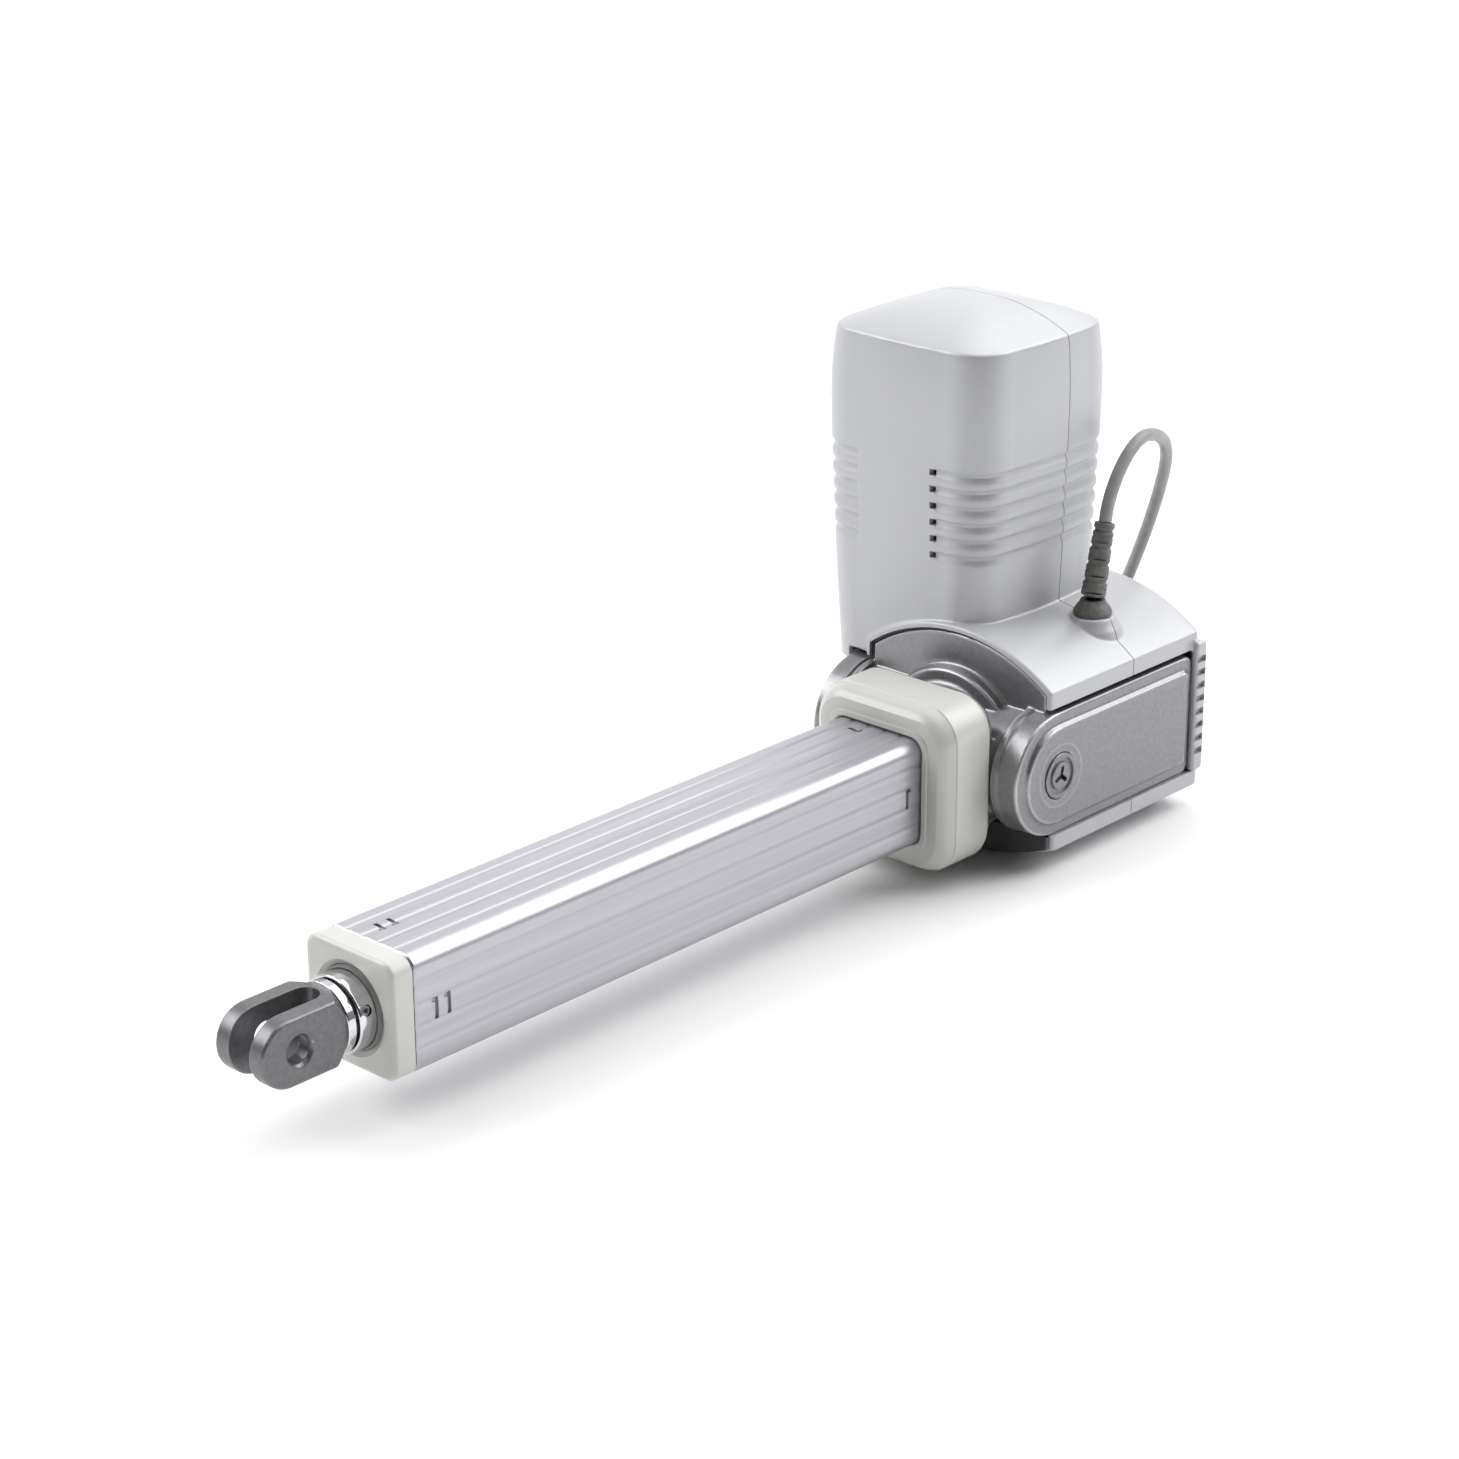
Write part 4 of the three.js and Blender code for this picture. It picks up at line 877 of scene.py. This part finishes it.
def groove_depth(z):
    """Depth of the finger grooves: a crisp upper edge and a long slope under it."""
    edge, slope = 0.6, 4.6
    below = min((GROOVE_FIRST + k * GROOVE_PITCH + 1.6 - z for k in range(GROOVE_COUNT)), key=abs)
    if -edge < below <= edge:
        return GROOVE_DEPTH * (below + edge) / (2 * edge)
    if edge < below < edge + slope:
        return GROOVE_DEPTH / 2 * (1 + math.cos(math.pi * (below - edge) / slope))
    return 0.0


def hood_body():
    """Hood with finger grooves on its sides, a crisp rim and a low crown."""
    levels = [26 + 5 * k for k in range(13)]
    levels += [90 + 0.55 * k for k in range(92)]
    levels += [142 + 5 * k for k in range(11)]
    rings = [hood_ring(z, hood_half(z), HOOD_CORNER, groove_depth(z)) for z in levels]
    rim = hood_half(HOOD_RIM)
    rings += [hood_ring(HOOD_RIM - 0.8, rim, HOOD_CORNER), hood_ring(HOOD_RIM, rim - 0.3, HOOD_CORNER)]
    for k in range(1, 16):
        scale = 1 - k / 16
        rise = (HOOD_TOP - HOOD_RIM) * (1 - scale ** 2.2)
        rings.append(hood_ring(HOOD_RIM + rise, rim * scale, HOOD_CORNER * scale, bow=HOOD_BOW * scale))
    return loft(rings)


def hood_inside():
    """Low cavity for the hood, a wall's thickness inside it."""
    wall = 3.0
    levels = [(z, hood_half(z) - wall) for z in (30, 95, HOOD_WIDEST, HOOD_RIM - wall)]
    levels.append((HOOD_TOP - wall - 2.5, 16))
    rings = [[(MOTOR.x + a, MOTOR.y + b, z) for a, b in rounded_square(half, min(18, half * 0.6), straight=8)]
             for z, half in levels]
    return loft(rings)


def split(solid_body):
    """The two halves either side of the seam, a hair apart."""
    other = solid_body.copy()
    other.data = solid_body.data.copy()
    bpy.context.scene.collection.objects.link(other)
    rear_side = block(-800, SEAM + SEAM_GAP, -200, 200, -100, 300)
    front_side = block(SEAM - SEAM_GAP, 0, -200, 200, -100, 300)
    return cut(solid_body, rear_side), cut(other, front_side)


def hood_and_covers():
    """Hood, arched cover and rear wall as one moulding, split at the seam."""
    arch = prism(lambda inset: cover_section(inset, 33.3), COVER_REAR, COVER_FRONT, "x", 6, 1.4)
    foot = block(-520, -380, -73, 80, 0, 33.3)
    hood = cut(hood_body(), foot)
    inner_rear = COVER_REAR + REAR_WALL
    rear_wall = prism(rect_section(-58, 61.5, -30.8, 36, 1.5), COVER_REAR, inner_rear, "x", 1.2, 0)
    corner = prism(rect_section(COVER_REAR, -505.6, 57, 61.5, 1.5), -30.8, 38, "z", 0.8, 2.5)
    boss = turned([(0, 45, 0), (17, 45, 0), (14.2, 53.5, 4), (12.6, 56, 2), (10.9, GLAND.z, 0.8),
                   (0, GLAND.z, 0)], "z", (GLAND.x, GLAND.y, 0))
    body = melt(union(arch, hood, rear_wall, corner, boss), voxel=0.75, passes=2, keep=0.45)
    arch_inside = loft([[(x, a, b) for a, b in cover_section(COVER_WALL, 28)]
                        for x in (inner_rear, COVER_FRONT + 1)])
    ribs = [block(-513.2, -506.4, 59.4, 63, 7 * k - 22, 7 * k - 18.6) for k in range(8)]
    opening = cylinder(22, -520, -505)
    throat = turned([(0, 40, 0), (9.4, 40, 0), (9.4, 53.3, 0), (7, 53.3, 0), (7, 70, 0), (0, 70, 0)], "z",
                    (GLAND.x, GLAND.y, 0))
    heights = [GROOVE_FIRST + k * GROOVE_PITCH for k in range(GROOVE_COUNT)]
    face = MOTOR.x + hood_half(115)
    vents = [block(face - 6, face + 4, MOTOR.y + 21, MOTOR.y + 24.4, z - 1.6, z + 1.6) for z in heights]
    cut(body, arch_inside, hood_inside(), *ribs, opening, throat, *vents)
    front, rear = split(body)
    place("hood_shell_front", front, "hood_plastic", "hood_front_half", sharp=40)
    place("hood_shell_rear", rear, "hood_plastic", "hood_rear_half", sharp=40)


def sump_covers():
    """Bottom cover with its two screw bosses, split at the seam."""
    front_end = span("bottom_cover_front")[1].x
    outside = prism(lambda inset: sump_section(inset, SUMP_TOP), COVER_REAR, front_end, "x", 5, 2.5)
    inside = loft([[(x, a, max(b, SUMP_FLOOR + SUMP_WALL)) for a, b in sump_section(SUMP_WALL, SUMP_TOP + 5)]
                   for x in (COVER_REAR + REAR_WALL, COVER_FRONT)])
    shell = cut(outside, inside)
    spots = [(span(f"bottom_screw_{k}")[0] + span(f"bottom_screw_{k}")[1]) / 2 for k in (1, 2)]
    bosses = [cylinder(5.4, -42, SUMP_TOP, "z", (spot.x, spot.y, 0)) for spot in spots]
    sunk = [(0, -60, 0), (5.6, -60, 0), (4.8, -47, 0.3), (4.8, -40.4, 0), (2.9, -40.4, 0), (2.9, -20, 0),
            (0, -20, 0)]
    holes = [turned(sunk, "z", (spot.x, spot.y, 0)) for spot in spots]
    front, rear = split(cut(union(shell, *bosses), *holes))
    place("sump_shell_front", front, "hood_plastic", "bottom_cover_front", sharp=30)
    place("sump_shell_rear", rear, "hood_plastic", "bottom_cover_rear", sharp=30)


def lower_guard():
    """Black plate below the neck, cut to clear the neck and the drum; its black is partly a dark part and
    partly painted shade for the deep shade under the drum.
    """
    low, high = span("front_lower_guard")
    plate = prism(lambda inset: sump_section(1.5 + inset, high.z), low.x, high.x, "x", 0, 0.8)
    neck = cylinder(41.8, -400, -380)
    drum = cylinder(32, -90, 90, "y", (ARM_X, 0, 0))
    place("lower_plate_dark_and_shade", cut(plate, neck, drum), "black_plastic", "front_lower_guard")


def shadow_gap_strip():
    """Dark strip set back between the cover's edge and the wall behind it: painted shade for the shadow gap
    there, made as a thin seal.
    """
    outer, inner = cover_section(2.9, 30), cover_section(3.9, 30)
    rear, front = COVER_FRONT - 6, COVER_FRONT - 1.9
    rings = [[(x, a, b) for a, b in outline] for outline, x in
             ((outer, rear), (outer, front), (inner, front), (inner, rear))]
    place("shadow_gap_strip", loft(rings, hollow=True), "seal_rubber")


hood_and_covers()
sump_covers()
lower_guard()
shadow_gap_strip()


# ---------- cable gland ----------
def make_gland():
    """Bell that sits in the cover's boss, and the leaning strain relief with its staggered gaps."""
    bell = [(0, -9, 0), (9, -9, 0.4), (9, -6.5, 0.2), (6.6, -6.3, 0), (6.6, 0.2, 0), (9.4, 0.2, 0.4),
            (9.6, 1.8, 0.6), (8.2, 4.2, 2), (6.5, 6.2, 1), (6.2, 7.6, 0.5), (3.6, 7.6, 0), (3.6, 6, 0),
            (0, 6, 0)]
    place("gland_bell", turned(bell, "z", GLAND, segments=64), "gland_rubber", "cable_gland")
    pitch, ribs = 8.4, 4
    sleeve = [(0, 0, 0), (5.6, 0, 0.5)]
    for k in range(ribs):
        r, base = 6.1 - 0.3 * k, k * pitch
        sleeve += [(r, base + 0.6, 0.6), (r - 0.1, base + 6.6, 0.6), (r - 0.8, base + 6.9, 0.3),
                   (r - 0.85, base + pitch - 0.1, 0.3)]
    top = ribs * pitch
    sleeve += [(5.1, top + 0.2, 0.5), (5.0, top + 2.6, 0.7), (3.4, top + 3, 0), (0, top + 3, 0)]
    relief = turned(sleeve, "z", segments=64)
    gaps = []
    for k in range(ribs):
        for turn in (0, 90):
            base = k * pitch + (1.6 if turn else 3.9)
            for side in (1, -1):
                slot = block(-8, 8, min(4.5 * side, 8 * side), max(4.5 * side, 8 * side), base, base + 0.8)
                slot.data.transform(Matrix.Rotation(math.radians(turn + 40), 4, "Z"))
                gaps.append(slot)
    relief = cut(relief, *gaps)
    lean = Matrix.Rotation(-GLAND_LEAN, 4, "Y")
    relief.data.transform(Matrix.Translation(GLAND + Vector((0, 0, 9.2))) @ lean)
    place("relief_sleeve", relief, "gland_rubber", "strain_relief")


make_gland()


# ---------- CAD nodes that stay ----------
def refinish_cad_nodes():
    """Gives the CAD nodes that still show the finish of their own slot."""
    slots = {part["node"]: part["material_slot"] for part in frame["record"]["subparts"]}
    for node, obj in frame["nodes"].items():
        if not obj.hide_render:
            obj.data.materials.clear()
            obj.data.materials.append(FINISHES[slots[node]])


refinish_cad_nodes()


# ---------- floor, light and view ----------
def make_floor():
    """Pale floor, a hair below the object."""
    size = 15
    corners = [(-size, -size, 0), (size, -size, 0), (size, size, 0), (-size, size, 0)]
    mesh = bpy.data.meshes.new("floor")
    mesh.from_pydata(corners, [], [(0, 1, 2, 3)])
    floor = bpy.data.objects.new("floor", mesh)
    bpy.context.scene.collection.objects.link(floor)
    mesh.materials.append(finish("pale_floor", (0.92, 0.92, 0.92), (0.91, 0.91, 0.91), 0.9, grain=2))
    floor.location.z = cad_box[0][2] - 0.0002


def softbox(name, azimuth, elevation, distance, size, watts):
    """Rectangular area light aimed at the middle of the object; azimuth runs anticlockwise from +X."""
    aim = TO_ROW @ Vector((-230, 0, 60))
    turn, lift = math.radians(azimuth), math.radians(elevation)
    towards = Vector((math.cos(turn) * math.cos(lift), math.sin(turn) * math.cos(lift), math.sin(lift)))
    data = bpy.data.lights.new(name, "AREA")
    data.shape = "RECTANGLE"
    data.size, data.size_y = size
    data.energy = watts
    light = bpy.data.objects.new(name, data)
    light.location = aim + towards * distance
    light.rotation_euler = towards.to_track_quat("Z", "Y").to_euler()
    bpy.context.scene.collection.objects.link(light)


def make_world():
    """Pale studio: bright behind the object and dimmer in front of it."""
    world = bpy.data.worlds.new("studio")
    world.use_nodes = True
    nodes, links = world.node_tree.nodes, world.node_tree.links
    direction = nodes.new("ShaderNodeTexCoord")
    facing = nodes.new("ShaderNodeVectorMath")
    facing.operation = "DOT_PRODUCT"
    facing.inputs[1].default_value = (-0.68, -0.63, 0.37)
    strength = nodes.new("ShaderNodeMapRange")
    strength.inputs["From Min"].default_value = -0.35
    strength.inputs["To Min"].default_value = 0.05
    strength.inputs["To Max"].default_value = 1.15
    links.new(direction.outputs["Generated"], facing.inputs[0])
    links.new(facing.outputs["Value"], strength.inputs["Value"])
    links.new(strength.outputs["Result"], nodes["Background"].inputs["Strength"])
    nodes["Background"].inputs["Color"].default_value = (1, 1, 1, 1)
    bpy.context.scene.world = world


make_floor()
make_world()
softbox("left_box", azimuth=-52, elevation=38, distance=8.5, size=(6.8, 4.6), watts=500)
softbox("right_box", azimuth=144, elevation=36, distance=8.5, size=(6.8, 4.6), watts=350)
softbox("overhead_box", azimuth=172, elevation=62, distance=2.9, size=(3.2, 3.2), watts=60)
bpy.context.scene.view_settings.view_transform = "Standard"
